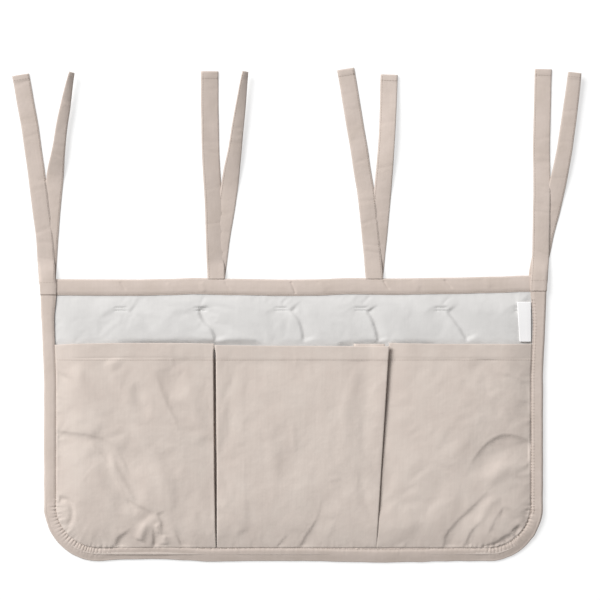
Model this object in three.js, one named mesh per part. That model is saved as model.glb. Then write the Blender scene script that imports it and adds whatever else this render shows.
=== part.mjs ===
// A fabric crib organizer, lying flat on its back: a quilted panel that carries three
// pockets with inverted box pleats between them, bound round its edges, with four pairs
// of ties standing out of its top edge.
// +X runs to the right, +Y towards the ties and +Z out of the front. The origin is on the
// flat underside of the back lining, at the middle of the panel. Lengths are in
// millimetres and angles in degrees.

import * as THREE from "three";

// The panel's outline
const PANEL_WIDTH = 600;
const PANEL_HEIGHT = 334;
const CORNER_RADIUS = 66;
const SIDE_TAPER = 5;
const TAPER_RUN = 115;

// Clearances: between layers that lie on each other, in front of the end of a strip that
// moves, between pocket fronts that meet, and between a pocket's two parts
const GAP = 0.3;
const FOOT_GAP = 0.4;
const DIVIDER_GAP = 2;
const CREASE_GAP = 0.6;

// Cloth and wadding
const FACE_CLOTH = 0.5;
const LINING_CLOTH = 0.5;
const BINDING_CLOTH = 0.7;
const POCKET_CLOTH = 0.6;
const PLEAT_CLOTH = 0.5;
const LABEL_CLOTH = 0.4;
const PRESSED_WADDING = 1.4;
const PUFFED_WADDING = 5.2;

// Bindings: how far each one shows over the panel's front
const TOP_BINDING = 19;
const CORNER_BINDING = 20;
const SIDE_BINDING = 14.5;
const BOTTOM_BINDING = 16.5;
const BINDING_TAPER_RUN = 60;
const BINDING_ROUND = 1.2;

// Quilting: bar tacks on a square pattern
const TACK_PITCH = 94.5;
const TACK_OFFSET = -14.8;
const TACK_DROP = 35.6;
const TACK_LENGTH = 13;
const TACK_WIDTH = 3.4;
const TACK_THREAD = 0.6;
const TACK_SLOT = 2.4;
const TUFT_REACH = 14;
const EDGE_REACH = 22;

// Pockets
const POCKET_DROP = 79;
const POCKET_RISE = 35;
const POCKET_ROOM = 5.4;
const POCKET_TUCK = 8;
const HEM_DEPTH = 22;
const HEM_CLOTH = 0.5;
const FLAP_TIP = 5;
const CREASE_INSET = 7;
const LEFT_DIVIDER = { top: -93, foot: -91 };
const RIGHT_DIVIDER = { top: 113, foot: 98 };

// Pleats between the pockets
const PLEAT_DEPTH = 40;
const PLEAT_ROOM = 0.6;
const PLEAT_ROUND = 0.5;
const PLEAT_STOP = 26;

// Ties, numbered from the left: how far the outer two stand in from the panel's sides,
// and where the inner two stand
const LEFT_TIE_INSET = 8.5;
const RIGHT_TIE_INSET = 9.5;
const SECOND_TIE_X = -91.3;
const THIRD_TIE_X = 95.7;
const TIE_LENGTH = 245;
const TIE_WIDTH = 19.5;
const TIE_THICKNESS = 1.2;
const TIE_BEVEL = 1;
const TIE_STEPS = 14;
const TIE_STRAIGHT = 20;
const TIE_FALL = 28;
const GROUND_GAP = 0.05;

// Label, sewn in the right side's binding
const LABEL_WIDTH = 47;
const LABEL_LENGTH = 14.5;
const LABEL_DROP = 27;
const LABEL_ROOM = 0.4;
const LABEL_LIFT = 14;
const LABEL_ROUND = 0.5;

// Sewing thread, drawn as one flat line along each row of stitches
const THREAD_WIDTH = 0.8;
const THREAD_HEIGHT = 0.3;
const STITCH_INSET = 2;
const STITCH_START = 6;

// How far the layers stay flat beyond the seam that holds them
const SEAM_FLAT = 3;

// Counts of grid steps, and the shares of a front's width at which its grid lines lie
const CORNER_STEPS = 5;
const OUTLINE_STEPS = 4;
const RISE_STEPS = 3;
const MID_ROWS = 3;
const HEM_STEPS = 8;
const SEWN_SHARES = [1 / 3, 2 / 3, 1];
const FLAP_SHARES = [0, 0.12, 0.25, 0.5, 1];
const CENTRE_SHARES = [0, 0.09, 0.18, 0.5, 0.82, 0.91, 1];

const TOP = PANEL_HEIGHT / 2;
const BOTTOM = -TOP;
const CORNER_Y = BOTTOM + CORNER_RADIUS;
const LOW_HALF_WIDTH = PANEL_WIDTH / 2 - SIDE_TAPER;
const SEAM_Y = BOTTOM + BOTTOM_BINDING;
const POCKET_TOP = TOP - POCKET_DROP;
const RISE_Y = SEAM_Y + SEAM_FLAT;
const BINDING_CORNER = BINDING_ROUND + BINDING_CLOTH * (Math.SQRT2 - 1);
// A round corner of few steps lies this far inside the true arc
const CORNER_SAG = CORNER_RADIUS * (1 - Math.cos(Math.PI / (4 * CORNER_STEPS)));
const QUILT_INSET = BINDING_CORNER + CORNER_SAG + GAP;

// The underside and top of each quilt layer, from the lining's underside up
function quiltLayers(liningUnder, wadding) {
  const waddingUnder = liningUnder + LINING_CLOTH + GAP;
  const faceUnder = waddingUnder + wadding + GAP;
  return {
    lining: { under: liningUnder, top: liningUnder + LINING_CLOTH },
    wadding: { under: waddingUnder, top: waddingUnder + wadding },
    face: { under: faceUnder, top: faceUnder + FACE_CLOTH },
  };
}

const PRESSED = quiltLayers(BINDING_CLOTH + GAP, PRESSED_WADDING);
const PUFFED = quiltLayers(0, PUFFED_WADDING);

const TOP_BINDING_TOP = PRESSED.face.top + GAP + BINDING_CLOTH;
const POCKET_SEWN = PRESSED.face.top + GAP;
const EDGE_BINDING_TOP = POCKET_SEWN + POCKET_CLOTH + GAP + BINDING_CLOTH;
const PLEAT_UNDER = PUFFED.face.top + GAP;
const PLEAT_HEIGHT = 2 * PLEAT_CLOTH + PLEAT_ROOM;
const POCKET_FOLD = PLEAT_UNDER + PLEAT_HEIGHT + GAP;
const POCKET_FULL = PUFFED.face.top + POCKET_ROOM;

const COTTON = { color: 0xd0c4bb, roughness: 0.92, metalness: 0 };
const WHITE_COTTON = { color: 0xefedea, roughness: 0.92, metalness: 0 };
const WADDING = { color: 0xf7f7f5, roughness: 1, metalness: 0 };
const WHITE_THREAD = { color: 0xe8e6e2, roughness: 0.7, metalness: 0 };
const BEIGE_THREAD = { color: 0xc4b6ab, roughness: 0.7, metalness: 0 };
const SATIN = { color: 0xf4f3f1, roughness: 0.5, metalness: 0 };

const organizer = new THREE.Group();

const lerp = THREE.MathUtils.lerp;

function smooth(t) {
  return THREE.MathUtils.smoothstep(t, 0, 1);
}

// Half the width of the panel's outline at height y, drawn in all round by inset
function halfWidth(y, inset = 0) {
  if (y >= CORNER_Y) {
    const taper = SIDE_TAPER * Math.min(1, (TOP - y) / TAPER_RUN);
    return PANEL_WIDTH / 2 - taper - inset;
  }
  const reach = (CORNER_RADIUS - inset) ** 2 - (CORNER_Y - y) ** 2;
  return LOW_HALF_WIDTH - CORNER_RADIUS + Math.sqrt(Math.max(0, reach));
}

// How far a place lies inside the outline's sides, lower corners and bottom
function insetAt(x, y) {
  const across = Math.abs(x) - (LOW_HALF_WIDTH - CORNER_RADIUS);
  const down = CORNER_Y - y;
  if (across > 0 && down > 0) {
    return CORNER_RADIUS - Math.hypot(across, down);
  }
  return Math.min(halfWidth(Math.max(y, CORNER_Y)) - Math.abs(x), y - BOTTOM);
}

// How wide the edge binding shows at height y
function bindingWidth(y) {
  const toSide = smooth((TOP - y) / BINDING_TAPER_RUN);
  const toBottom = smooth((CORNER_Y - y) / CORNER_RADIUS);
  return lerp(lerp(CORNER_BINDING, SIDE_BINDING, toSide), BOTTOM_BINDING, toBottom);
}

// The middles of the bar tacks: those of the pattern that clear the bindings
function tackPlaces() {
  const room = LOW_HALF_WIDTH - SIDE_BINDING - TACK_LENGTH / 2 - 2 * GAP;
  const places = [];
  let row = 1;
  for (let y = TOP - TACK_DROP; y - TUFT_REACH > CORNER_Y; y -= TACK_PITCH) {
    const first = Math.ceil((-room - TACK_OFFSET) / TACK_PITCH);
    const last = Math.floor((room - TACK_OFFSET) / TACK_PITCH);
    for (let k = first; k <= last; k += 1) {
      places.push({ x: TACK_OFFSET + k * TACK_PITCH, y, row, column: k - first + 1 });
    }
    row += 1;
  }
  return places;
}

const TACKS = tackPlaces();
const SLOT_HALF_LENGTH = TACK_LENGTH / 2 + GAP;
const SLOT_HALF_WIDTH = TACK_SLOT / 2;

// How flat the quilt is pressed: 1 under a binding or a tack, 0 where it puffs up
function pressedAt(x, y) {
  const fromBindings = Math.min(insetAt(x, y) - bindingWidth(y), TOP - y - TOP_BINDING);
  let pressed = 1 - smooth((fromBindings - SEAM_FLAT) / EDGE_REACH);
  for (const tack of TACKS) {
    const dx = Math.max(0, Math.abs(x - tack.x) - SLOT_HALF_LENGTH);
    const dy = Math.max(0, Math.abs(y - tack.y) - SLOT_HALF_WIDTH);
    pressed = Math.max(pressed, 1 - smooth(Math.hypot(dx, dy) / TUFT_REACH));
  }
  return pressed;
}

// The underside of a pocket front: sewn flat at its seams, on the pleats at a divider, and
// swelling from there to its full height
function pocketUnder(x, y) {
  const fromSeam = insetAt(x, y) - bindingWidth(y) - SEAM_FLAT;
  let under = lerp(POCKET_SEWN, POCKET_FULL, swell(fromSeam / POCKET_RISE));
  for (const divider of [LEFT_DIVIDER, RIGHT_DIVIDER]) {
    const away = Math.abs(x - dividerX(divider, y));
    under = Math.min(under, lerp(POCKET_FOLD, POCKET_FULL, swell(away / POCKET_RISE)));
  }
  return under;
}

function swell(t) {
  return Math.sin((Math.PI / 2) * THREE.MathUtils.clamp(t, 0, 1));
}

function dividerX(divider, y) {
  return lerp(divider.foot, divider.top, (y - SEAM_Y) / (POCKET_TOP - SEAM_Y));
}

// A closed geometry with its faces turned out
function closedGeometry(positions, index) {
  const corner = [new THREE.Vector3(), new THREE.Vector3(), new THREE.Vector3()];
  let volume = 0;
  for (let i = 0; i < index.length; i += 3) {
    corner.forEach((point, k) => point.fromArray(positions, 3 * index[i + k]));
    volume += corner[0].dot(corner[1].cross(corner[2]));
  }
  const geometry = new THREE.BufferGeometry();
  geometry.setAttribute("position", new THREE.Float32BufferAttribute(positions, 3));
  geometry.setIndex(volume < 0 ? index.toReversed() : index);
  geometry.computeVertexNormals();
  return geometry;
}

// A sheet over a grid. place(column, row) gives x, y, under and top at each crossing. The
// cells that isOpen names are left out as holes, and those that isTurned names are
// creased along their other diagonal, so that a rounded corner stays even.
function sheetGeometry(columns, rows, place, isTurned, isOpen = () => false) {
  const positions = [];
  const index = [];
  for (let j = 0; j < rows; j += 1) {
    for (let i = 0; i < columns; i += 1) {
      const { x, y, under, top } = place(i, j);
      positions.push(x, y, under, x, y, top);
    }
  }
  const under = ([i, j]) => 2 * (j * columns + i);
  const top = ([i, j]) => 2 * (j * columns + i) + 1;
  const isKept = (i, j) => {
    const inside = i >= 0 && j >= 0 && i < columns - 1 && j < rows - 1;
    return inside && !isOpen(i, j);
  };
  const quad = (a, b, c, d) => index.push(a, b, c, a, c, d);
  for (let j = 0; j < rows - 1; j += 1) {
    for (let i = 0; i < columns - 1; i += 1) {
      if (!isKept(i, j)) continue;
      const corners = [[i, j], [i + 1, j], [i + 1, j + 1], [i, j + 1]];
      const turn = isTurned(i, j) ? 1 : 0;
      const [a, b, c, d] = [...corners.slice(turn), ...corners.slice(0, turn)];
      quad(top(a), top(b), top(c), top(d));
      index.push(under(a), under(c), under(b), under(a), under(d), under(c));
      const beside = [[i, j - 1], [i + 1, j], [i, j + 1], [i - 1, j]];
      beside.forEach(([column, row], side) => {
        if (isKept(column, row)) return;
        const from = corners[side];
        const to = corners[(side + 1) % corners.length];
        quad(under(from), under(to), top(to), top(from));
      });
    }
  }
  return closedGeometry(positions, index);
}

// A solid whose cross-section goes from ring to ring. outline is the first ring in its own
// plane, which the two ends are filled by.
function loftGeometry(rings, outline) {
  const size = outline.length;
  const index = [];
  for (let r = 0; r + 1 < rings.length; r += 1) {
    for (let i = 0; i < size; i += 1) {
      const a = r * size + i;
      const b = r * size + ((i + 1) % size);
      index.push(a, b, b + size, a, b + size, a + size);
    }
  }
  const contour = outline.map(([across, up]) => new THREE.Vector2(across, up));
  const isClockwise = THREE.ShapeUtils.isClockWise(contour);
  const last = (rings.length - 1) * size;
  for (const face of THREE.ShapeUtils.triangulateShape(contour, [])) {
    const [a, b, c] = isClockwise ? face.toReversed() : face;
    index.push(a, c, b, last + a, last + b, last + c);
  }
  return closedGeometry(rings.flat(2), index);
}

// The cross-section of a strip folded in two, as distance in from the fold and height
function foldedSection(width, height, cloth, round) {
  const corner = round + cloth * (Math.SQRT2 - 1);
  return [
    [width, height],
    [round, height],
    [0, height - round],
    [0, round],
    [round, 0],
    [width, 0],
    [width, cloth],
    [corner, cloth],
    [cloth, corner],
    [cloth, height - corner],
    [corner, height - cloth],
    [width, height - cloth],
  ];
}

// A section carried along a path. Each stop gives its place, the directions that the
// section's two axes take there, and the section.
function sweptGeometry(stops) {
  const rings = stops.map(({ at, across, up, section }) =>
    section.map(([a, b]) => at.map((value, k) => value + across[k] * a + up[k] * b)),
  );
  return loftGeometry(rings, contourFor(stops[0]));
}

// A section as seen along its path, turned so that it winds the way its ring does
function contourFor({ section }) {
  const contour = section.map(([a, b]) => new THREE.Vector2(a, b));
  return THREE.ShapeUtils.isClockWise(contour) ? section : section.map(([a, b]) => [a, -b]);
}

function addPiece(name, geometry, finish) {
  const piece = new THREE.Mesh(geometry, new THREE.MeshStandardMaterial(finish));
  piece.name = name;
  organizer.add(piece);
}

// The stops of a path round the left side, bottom and right side, inset from the outline.
// It starts and ends at the height y of start.
function edgeStops(sectionAt, start = TOP, inset = () => 0, height = 0) {
  const stops = [];
  const push = (x, y, inX, inY) => {
    const drawn = inset(y);
    const at = [x + inX * drawn, y + inY * drawn, height];
    stops.push({ at, across: [inX, inY, 0], up: [0, 0, 1], section: sectionAt(y) });
  };
  const sideRows = [];
  for (let step = 0; step <= OUTLINE_STEPS; step += 1) {
    sideRows.push(Math.min(start, TOP - (TAPER_RUN * step) / OUTLINE_STEPS));
  }
  const angles = [];
  for (let step = 0; step <= CORNER_STEPS; step += 1) {
    angles.push(((Math.PI / 2) * step) / CORNER_STEPS);
  }
  const arc = (side, angle) => {
    const out = CORNER_RADIUS * Math.cos(angle);
    const y = CORNER_Y - CORNER_RADIUS * Math.sin(angle);
    const x = side * (LOW_HALF_WIDTH - CORNER_RADIUS + out);
    push(x, y, -side * Math.cos(angle), Math.sin(angle));
  };
  sideRows.forEach((y) => push(-halfWidth(y), y, 1, 0));
  angles.forEach((angle) => arc(-1, angle));
  angles.toReversed().forEach((angle) => arc(1, angle));
  sideRows.toReversed().forEach((y) => push(halfWidth(y), y, -1, 0));
  return stops;
}

// Grid lines of the quilt. A line keeps a fixed place, or a distance in from one side.
function quiltColumns() {
  const lines = [];
  for (const side of [-1, 1]) {
    const edge = side * (LOW_HALF_WIDTH - QUILT_INSET);
    const flat = SIDE_BINDING + SEAM_FLAT;
    const reach = flat + EDGE_REACH;
    lines.push({ x: edge, side, inset: QUILT_INSET, firm: true });
    lines.push({ x: side * (LOW_HALF_WIDTH - flat), side, inset: flat, firm: true });
    lines.push({ x: side * (LOW_HALF_WIDTH - reach), side, inset: reach, firm: false });
  }
  for (const tack of TACKS.filter((one) => one.row === 1)) {
    for (const way of [-1, 1]) {
      lines.push({ x: tack.x + way * SLOT_HALF_LENGTH, firm: true });
      lines.push({ x: tack.x + way * (SLOT_HALF_LENGTH + TUFT_REACH), firm: false });
    }
  }
  return thinned(lines, (line) => line.x);
}

function quiltRows() {
  const rows = [
    { y: TOP - QUILT_INSET, firm: true },
    { y: TOP - TOP_BINDING - SEAM_FLAT, firm: true },
    { y: TOP - TAPER_RUN, firm: true },
    { y: CORNER_Y, firm: true },
    { y: RISE_Y, firm: true },
  ];
  for (let step = 1; step <= CORNER_STEPS; step += 1) {
    const sine = Math.sin(((Math.PI / 2) * step) / CORNER_STEPS);
    rows.push({ y: CORNER_Y - (CORNER_RADIUS - QUILT_INSET) * sine, firm: true });
  }
  for (const tack of TACKS.filter((one) => one.column === 1)) {
    for (const way of [-1, 1]) {
      rows.push({ y: tack.y + way * SLOT_HALF_WIDTH, firm: true });
      rows.push({ y: tack.y + way * (SLOT_HALF_WIDTH + TUFT_REACH), firm: false });
    }
  }
  return thinned(rows, (row) => row.y);
}

// Lines in order, without the soft ones that crowd a firm one or one already kept
function thinned(lines, placeOf) {
  const least = TUFT_REACH / 4;
  const kept = lines.filter((line) => line.firm);
  const low = Math.min(...kept.map(placeOf));
  const high = Math.max(...kept.map(placeOf));
  for (const line of lines.filter((one) => !one.firm)) {
    const place = placeOf(line);
    const isClear = kept.every((other) => Math.abs(placeOf(other) - place) > least);
    if (isClear && place > low && place < high) kept.push(line);
  }
  return kept.toSorted((a, b) => placeOf(a) - placeOf(b));
}

function addQuilt() {
  const columns = quiltColumns();
  const rows = quiltRows();
  const cornerWidth = halfWidth(CORNER_Y, QUILT_INSET);
  const placeAt = (i, j) => {
    const y = rows[j].y;
    const line = columns[i];
    const width = halfWidth(y, QUILT_INSET);
    const shrink = y < CORNER_Y ? width / cornerWidth : 1;
    const fromEdge = (line.inset - QUILT_INSET) * shrink;
    return { x: line.side ? line.side * (width - fromEdge) : line.x * shrink, y };
  };
  const middleOf = (i, j) => {
    const near = placeAt(i, j);
    const far = placeAt(i + 1, j + 1);
    return { x: (near.x + far.x) / 2, y: (near.y + far.y) / 2 };
  };
  const isTurned = (i, j) => middleOf(i, j).x < 0;
  const isSlot = (i, j) => {
    const { x, y } = middleOf(i, j);
    return TACKS.some(
      (tack) => Math.abs(tack.x - x) < SLOT_HALF_LENGTH && Math.abs(tack.y - y) < SLOT_HALF_WIDTH,
    );
  };
  const layer = (name) => {
    const place = (i, j) => {
      const { x, y } = placeAt(i, j);
      const pressed = pressedAt(x, y);
      const under = lerp(PUFFED[name].under, PRESSED[name].under, pressed);
      const top = lerp(PUFFED[name].top, PRESSED[name].top, pressed);
      return { x, y, under, top };
    };
    return sheetGeometry(columns.length, rows.length, place, isTurned, isSlot);
  };
  addPiece("quilt_face", layer("face"), WHITE_COTTON);
  addPiece("quilt_wadding", layer("wadding"), WADDING);
  addPiece("back_lining", layer("lining"), WHITE_COTTON);
}

// A bar tack holds the quilt's layers like a rivet: thread on the front and the back, and
// through the layers between them
function addTacks() {
  const low = PRESSED.lining.under - GAP;
  const high = PRESSED.face.top + GAP;
  const half = TACK_WIDTH / 2;
  const stem = SLOT_HALF_WIDTH - GAP;
  const side = [
    [half, high + TACK_THREAD],
    [half, high],
    [stem, high],
    [stem, low],
    [half, low],
    [half, low - TACK_THREAD + GROUND_GAP],
  ];
  const mirrored = side.toReversed().map(([across, up]) => [-across, up]);
  const section = [...side, ...mirrored];
  for (const tack of TACKS) {
    const stop = (x) => ({ at: [x, tack.y, 0], across: [0, 1, 0], up: [0, 0, 1], section });
    const ends = [stop(tack.x - TACK_LENGTH / 2), stop(tack.x + TACK_LENGTH / 2)];
    addPiece(`bar_tack_${tack.row}_${tack.column}`, sweptGeometry(ends), WHITE_THREAD);
  }
}

function addBindings() {
  const edgeSection = (y) =>
    foldedSection(bindingWidth(y), EDGE_BINDING_TOP, BINDING_CLOTH, BINDING_ROUND);
  addPiece("edge_binding", sweptGeometry(edgeStops(edgeSection)), COTTON);
  const reach = PANEL_WIDTH / 2 - CORNER_BINDING - GAP;
  const section = foldedSection(TOP_BINDING, TOP_BINDING_TOP, BINDING_CLOTH, BINDING_ROUND);
  const stop = (x) => ({ at: [x, TOP, 0], across: [0, -1, 0], up: [0, 0, 1], section });
  addPiece("top_binding", sweptGeometry([stop(-reach), stop(reach)]), COTTON);
}

function threadSection() {
  const half = THREAD_WIDTH / 2;
  return [[-half, 0], [half, 0], [half, THREAD_HEIGHT], [-half, THREAD_HEIGHT]];
}

// The rows of stitches along the bindings. The one round the edge starts below the top
// edge, where the outer ties fold over.
function addBindingStitches() {
  const section = threadSection();
  const inset = (y) => bindingWidth(y) - STITCH_INSET;
  const edge = edgeStops(() => section, TOP - STITCH_START, inset, EDGE_BINDING_TOP + GAP);
  addPiece("edge_stitching", sweptGeometry(edge), BEIGE_THREAD);
  const reach = PANEL_WIDTH / 2 - CORNER_BINDING - 2 * GAP;
  const y = TOP - TOP_BINDING + STITCH_INSET;
  const z = TOP_BINDING_TOP + GAP;
  const stop = (x) => ({ at: [x, y, z], across: [0, -1, 0], up: [0, 0, 1], section });
  addPiece("top_stitching", sweptGeometry([stop(-reach), stop(reach)]), BEIGE_THREAD);
}

// Two pleat halves meet at each divider. Each is folded in two, with its fold out under
// the pocket and its edges at the divider.
function addPleats() {
  const low = SEAM_Y + PLEAT_STOP;
  const width = PLEAT_DEPTH - GAP / 2;
  const section = foldedSection(width, PLEAT_HEIGHT, PLEAT_CLOTH, PLEAT_ROUND);
  const dividers = { left: LEFT_DIVIDER, right: RIGHT_DIVIDER };
  for (const [place, divider] of Object.entries(dividers)) {
    for (const [half, side] of [["left", -1], ["right", 1]]) {
      const stops = [low, POCKET_TOP].map((y) => ({
        at: [dividerX(divider, y) + side * PLEAT_DEPTH, y, PLEAT_UNDER],
        across: [-side, 0, 0],
        up: [0, 0, 1],
        section,
      }));
      addPiece(`${place}_pleat_${half}_half`, sweptGeometry(stops), COTTON);
    }
  }
}

// Rows of a grid where a pocket front rises from its bottom seam
function riseRows() {
  const rows = [];
  for (let step = 0; step <= RISE_STEPS; step += 1) {
    rows.push(RISE_Y + (POCKET_RISE * step) / RISE_STEPS);
  }
  return rows;
}

// Rows of a pocket front: its first ones, then evenly spaced ones to the hem, with the
// hem's own cloth from there up
function pocketRows(first) {
  const hem = POCKET_TOP - HEM_DEPTH;
  const rows = [...first];
  const last = rows.at(-1);
  for (let step = 1; step < MID_ROWS; step += 1) {
    rows.push(lerp(last, hem, step / MID_ROWS));
  }
  return [...rows, hem - GAP, hem, POCKET_TOP];
}

function frontPlace(x, y) {
  const surface = pocketUnder(x, y);
  const hem = y >= POCKET_TOP - HEM_DEPTH ? HEM_CLOTH : 0;
  const room = smooth((surface - POCKET_FOLD) / (POCKET_FULL - POCKET_FOLD));
  return { x, y, under: surface - hem * room, top: surface + POCKET_CLOTH };
}

// An outer pocket's front opens along a crease that runs from its mouth, beside the side
// seam, down to the divider. side is -1 for the left pocket and 1 for the right one.
function outerPocket(side) {
  const divider = side < 0 ? LEFT_DIVIDER : RIGHT_DIVIDER;
  const foldX = (y) => dividerX(divider, y) + (side * DIVIDER_GAP) / 2;
  const tuckX = (y) => side * halfWidth(y, bindingWidth(y) - POCKET_TUCK);
  const creaseLow = RISE_Y + POCKET_RISE + CREASE_GAP;
  const flat = bindingWidth(POCKET_TOP) + SEAM_FLAT + POCKET_RISE + CREASE_INSET;
  const mouthWidth = halfWidth(POCKET_TOP, flat) - side * foldX(POCKET_TOP);
  const creaseWidth = (y) => {
    const along = (y - creaseLow) / (POCKET_TOP - creaseLow);
    return lerp(FLAP_TIP, mouthWidth, along);
  };
  return { foldX, tuckX, creaseLow, creaseWidth };
}

function addOuterPocket(name, side) {
  const { foldX, tuckX, creaseLow, creaseWidth } = outerPocket(side);
  const offsets = [0, ...riseRows().map((y) => POCKET_TUCK + y - SEAM_Y)];
  const span = Math.abs(tuckX(CORNER_Y) - foldX(CORNER_Y));
  const sewnRows = pocketRows([SEAM_Y - POCKET_TUCK, ...riseRows(), creaseLow]);
  const sewnPlace = (i, j) => {
    const y = sewnRows[j];
    const outer = tuckX(y);
    const isCreased = y >= creaseLow;
    const inner = foldX(y) + (isCreased ? side * (creaseWidth(y) + CREASE_GAP) : 0);
    const shrink = y < CORNER_Y ? Math.abs(outer - foldX(y)) / span : 1;
    const reach = offsets.at(-1) * shrink;
    const x =
      i < offsets.length
        ? outer - side * offsets[i] * shrink
        : lerp(outer - side * reach, inner, SEWN_SHARES[i - offsets.length]);
    return frontPlace(x, y);
  };
  const sewnColumns = offsets.length + SEWN_SHARES.length;
  const sewn = sheetGeometry(sewnColumns, sewnRows.length, sewnPlace, () => true);
  addPiece(`${name}_pocket_sewn_front`, sewn, COTTON);

  const flapRows = pocketRows([creaseLow + CREASE_GAP]);
  const flapPlace = (i, j) => {
    const y = flapRows[j];
    return frontPlace(foldX(y) + side * FLAP_SHARES[i] * creaseWidth(y), y);
  };
  const flap = sheetGeometry(FLAP_SHARES.length, flapRows.length, flapPlace, () => false);
  addPiece(`${name}_pocket_mouth_front`, flap, COTTON);
  const hemY = POCKET_TOP - HEM_DEPTH + STITCH_INSET;
  const hemEnds = [STITCH_INSET, creaseWidth(hemY) - STITCH_INSET].map(
    (away) => foldX(hemY) + side * away,
  );
  addHemStitches(`${name}_hem_stitching`, hemEnds, hemY);
}

function addCentrePocket() {
  const leftX = (y) => dividerX(LEFT_DIVIDER, y) + DIVIDER_GAP / 2;
  const rightX = (y) => dividerX(RIGHT_DIVIDER, y) - DIVIDER_GAP / 2;
  const rows = pocketRows([SEAM_Y + FOOT_GAP, ...riseRows()]);
  const place = (i, j) => {
    const y = rows[j];
    return frontPlace(lerp(leftX(y), rightX(y), CENTRE_SHARES[i]), y);
  };
  const isTurned = (i) => i < CENTRE_SHARES.length / 2;
  const front = sheetGeometry(CENTRE_SHARES.length, rows.length, place, isTurned);
  addPiece("centre_pocket_front", front, COTTON);
  const hemY = POCKET_TOP - HEM_DEPTH + STITCH_INSET;
  const hemEnds = [leftX(hemY) + STITCH_INSET, rightX(hemY) - STITCH_INSET];
  addHemStitches("centre_hem_stitching", hemEnds, hemY);
}

// A hem's row of stitches follows the pocket front that it lies on
function addHemStitches(name, [startX, endX], y) {
  const stops = [];
  for (let step = 0; step <= HEM_STEPS; step += 1) {
    const x = lerp(startX, endX, step / HEM_STEPS);
    const z = pocketUnder(x, y) + POCKET_CLOTH + GAP;
    stops.push({ at: [x, y, z], across: [0, 1, 0], up: [0, 0, 1], section: threadSection() });
  }
  addPiece(name, sweptGeometry(stops), BEIGE_THREAD);
}

// How each tie's two tails lie. A course says how far along it a place is and how far
// aside it then lies, both in per cent of the tie's length, and how far its right edge
// has rolled up there, in degrees. The front tail lies on the rear one up to leaves.
const TIES = [
  {
    foot: LEFT_TIE_INSET - PANEL_WIDTH / 2,
    front: [[0, 0, 0], [18.4, -1, 0], [37.6, -3.5, 0], [71.4, -8, 0], [98.4, -12.9, 0]],
    rear: [[0, 0, 0], [18.4, 1.1, 0], [45.7, 3.5, 2], [61.2, 5.6, 42], [81.6, 8.8, 55], [99.2, 12.2, 74]],
    leaves: 44.1,
  },
  {
    foot: SECOND_TIE_X,
    front: [[0, 0, 0], [18.4, -0.7, 0], [37.6, -1.4, 0], [61.2, -2.7, 0], [100, -3.2, 0]],
    rear: [[0, 0, 0], [18.4, 2.3, 0], [40.8, 5.9, 2], [61.2, 8.8, 38], [81.6, 11.6, 54], [99.6, 14.1, 72]],
    leaves: 40.8,
  },
  {
    foot: THIRD_TIE_X,
    front: [[0, 0, 0], [18.4, -1.7, 0], [37.6, -3.6, 0], [66.5, -8, 0], [101.2, -13.8, 0]],
    rear: [[0, 0, 0], [18.4, 1.7, 0], [37.6, 3.6, 0], [66.5, 6, 22], [98.4, 7.2, 8]],
    leaves: 35.9,
  },
  {
    foot: PANEL_WIDTH / 2 - RIGHT_TIE_INSET,
    front: [[0, 0, 0], [18.4, 1, 0], [37.6, 1.3, 0], [66.5, 1.3, 0], [101.2, 2.2, 0]],
    rear: [[0, 0, 0], [18.4, 2.4, 0], [37.6, 7.2, 2], [56.3, 11.1, 24], [80.8, 14.9, 32], [99.2, 16.9, 40]],
    leaves: 45.7,
  },
];

const TIE_SECTION = tieSection();

function tieSection() {
  const half = TIE_WIDTH / 2;
  const flat = half - TIE_BEVEL;
  const thick = TIE_THICKNESS / 2;
  return [[half, 0], [flat, thick], [-flat, thick], [-half, 0], [-flat, -thick], [flat, -thick]];
}

// A tail of a tie. underAt gives how high its lower side lies, along its course.
function tailGeometry(foot, course, underAt) {
  const unit = TIE_LENGTH / 100;
  const curve = (points) => new THREE.SplineCurve(points.map((xy) => new THREE.Vector2(...xy)));
  const aside = curve(course.map(([along, shift]) => [along * unit, shift * unit]));
  const roll = curve(course.map(([along, , turn]) => [along * unit, turn]));
  const stops = [];
  for (let step = 0; step <= TIE_STEPS; step += 1) {
    const t = step / TIE_STEPS;
    const { x: along, y: shift } = aside.getPoint(t);
    const heading = aside.getTangent(t);
    const slope = (heading.y / heading.x) * smooth(along / TIE_STRAIGHT);
    const long = Math.hypot(1, slope);
    const turn = THREE.MathUtils.degToRad(Math.max(0, roll.getPoint(t).y));
    const flat = [1 / long, -slope / long];
    const lift = (Math.sin(turn) * TIE_WIDTH) / 2 + (Math.cos(turn) * TIE_THICKNESS) / 2;
    stops.push({
      at: [foot + shift, TOP + FOOT_GAP + along, underAt(along) + lift],
      across: [flat[0] * Math.cos(turn), flat[1] * Math.cos(turn), Math.sin(turn)],
      up: [-flat[0] * Math.sin(turn), -flat[1] * Math.sin(turn), Math.cos(turn)],
      section: TIE_SECTION,
    });
  }
  return sweptGeometry(stops);
}

function addTies() {
  const onRear = GROUND_GAP + TIE_THICKNESS + GAP;
  TIES.forEach((tie, i) => {
    const isOuter = i === 0 || i === TIES.length - 1;
    const bindingTop = isOuter ? EDGE_BINDING_TOP : TOP_BINDING_TOP;
    const footUnder = bindingTop - TIE_THICKNESS;
    const frontUnder = (along) => {
      const fallen = lerp(footUnder, onRear, smooth(along / TIE_FALL));
      const beyond = along - (tie.leaves / 100) * TIE_LENGTH;
      return lerp(fallen, GROUND_GAP, smooth(beyond / TIE_FALL));
    };
    const name = `tie_${i + 1}`;
    addPiece(`${name}_front_tail`, tailGeometry(tie.foot, tie.front, frontUnder), COTTON);
    addPiece(`${name}_rear_tail`, tailGeometry(tie.foot, tie.rear, () => GROUND_GAP), COTTON);
  });
}

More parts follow.
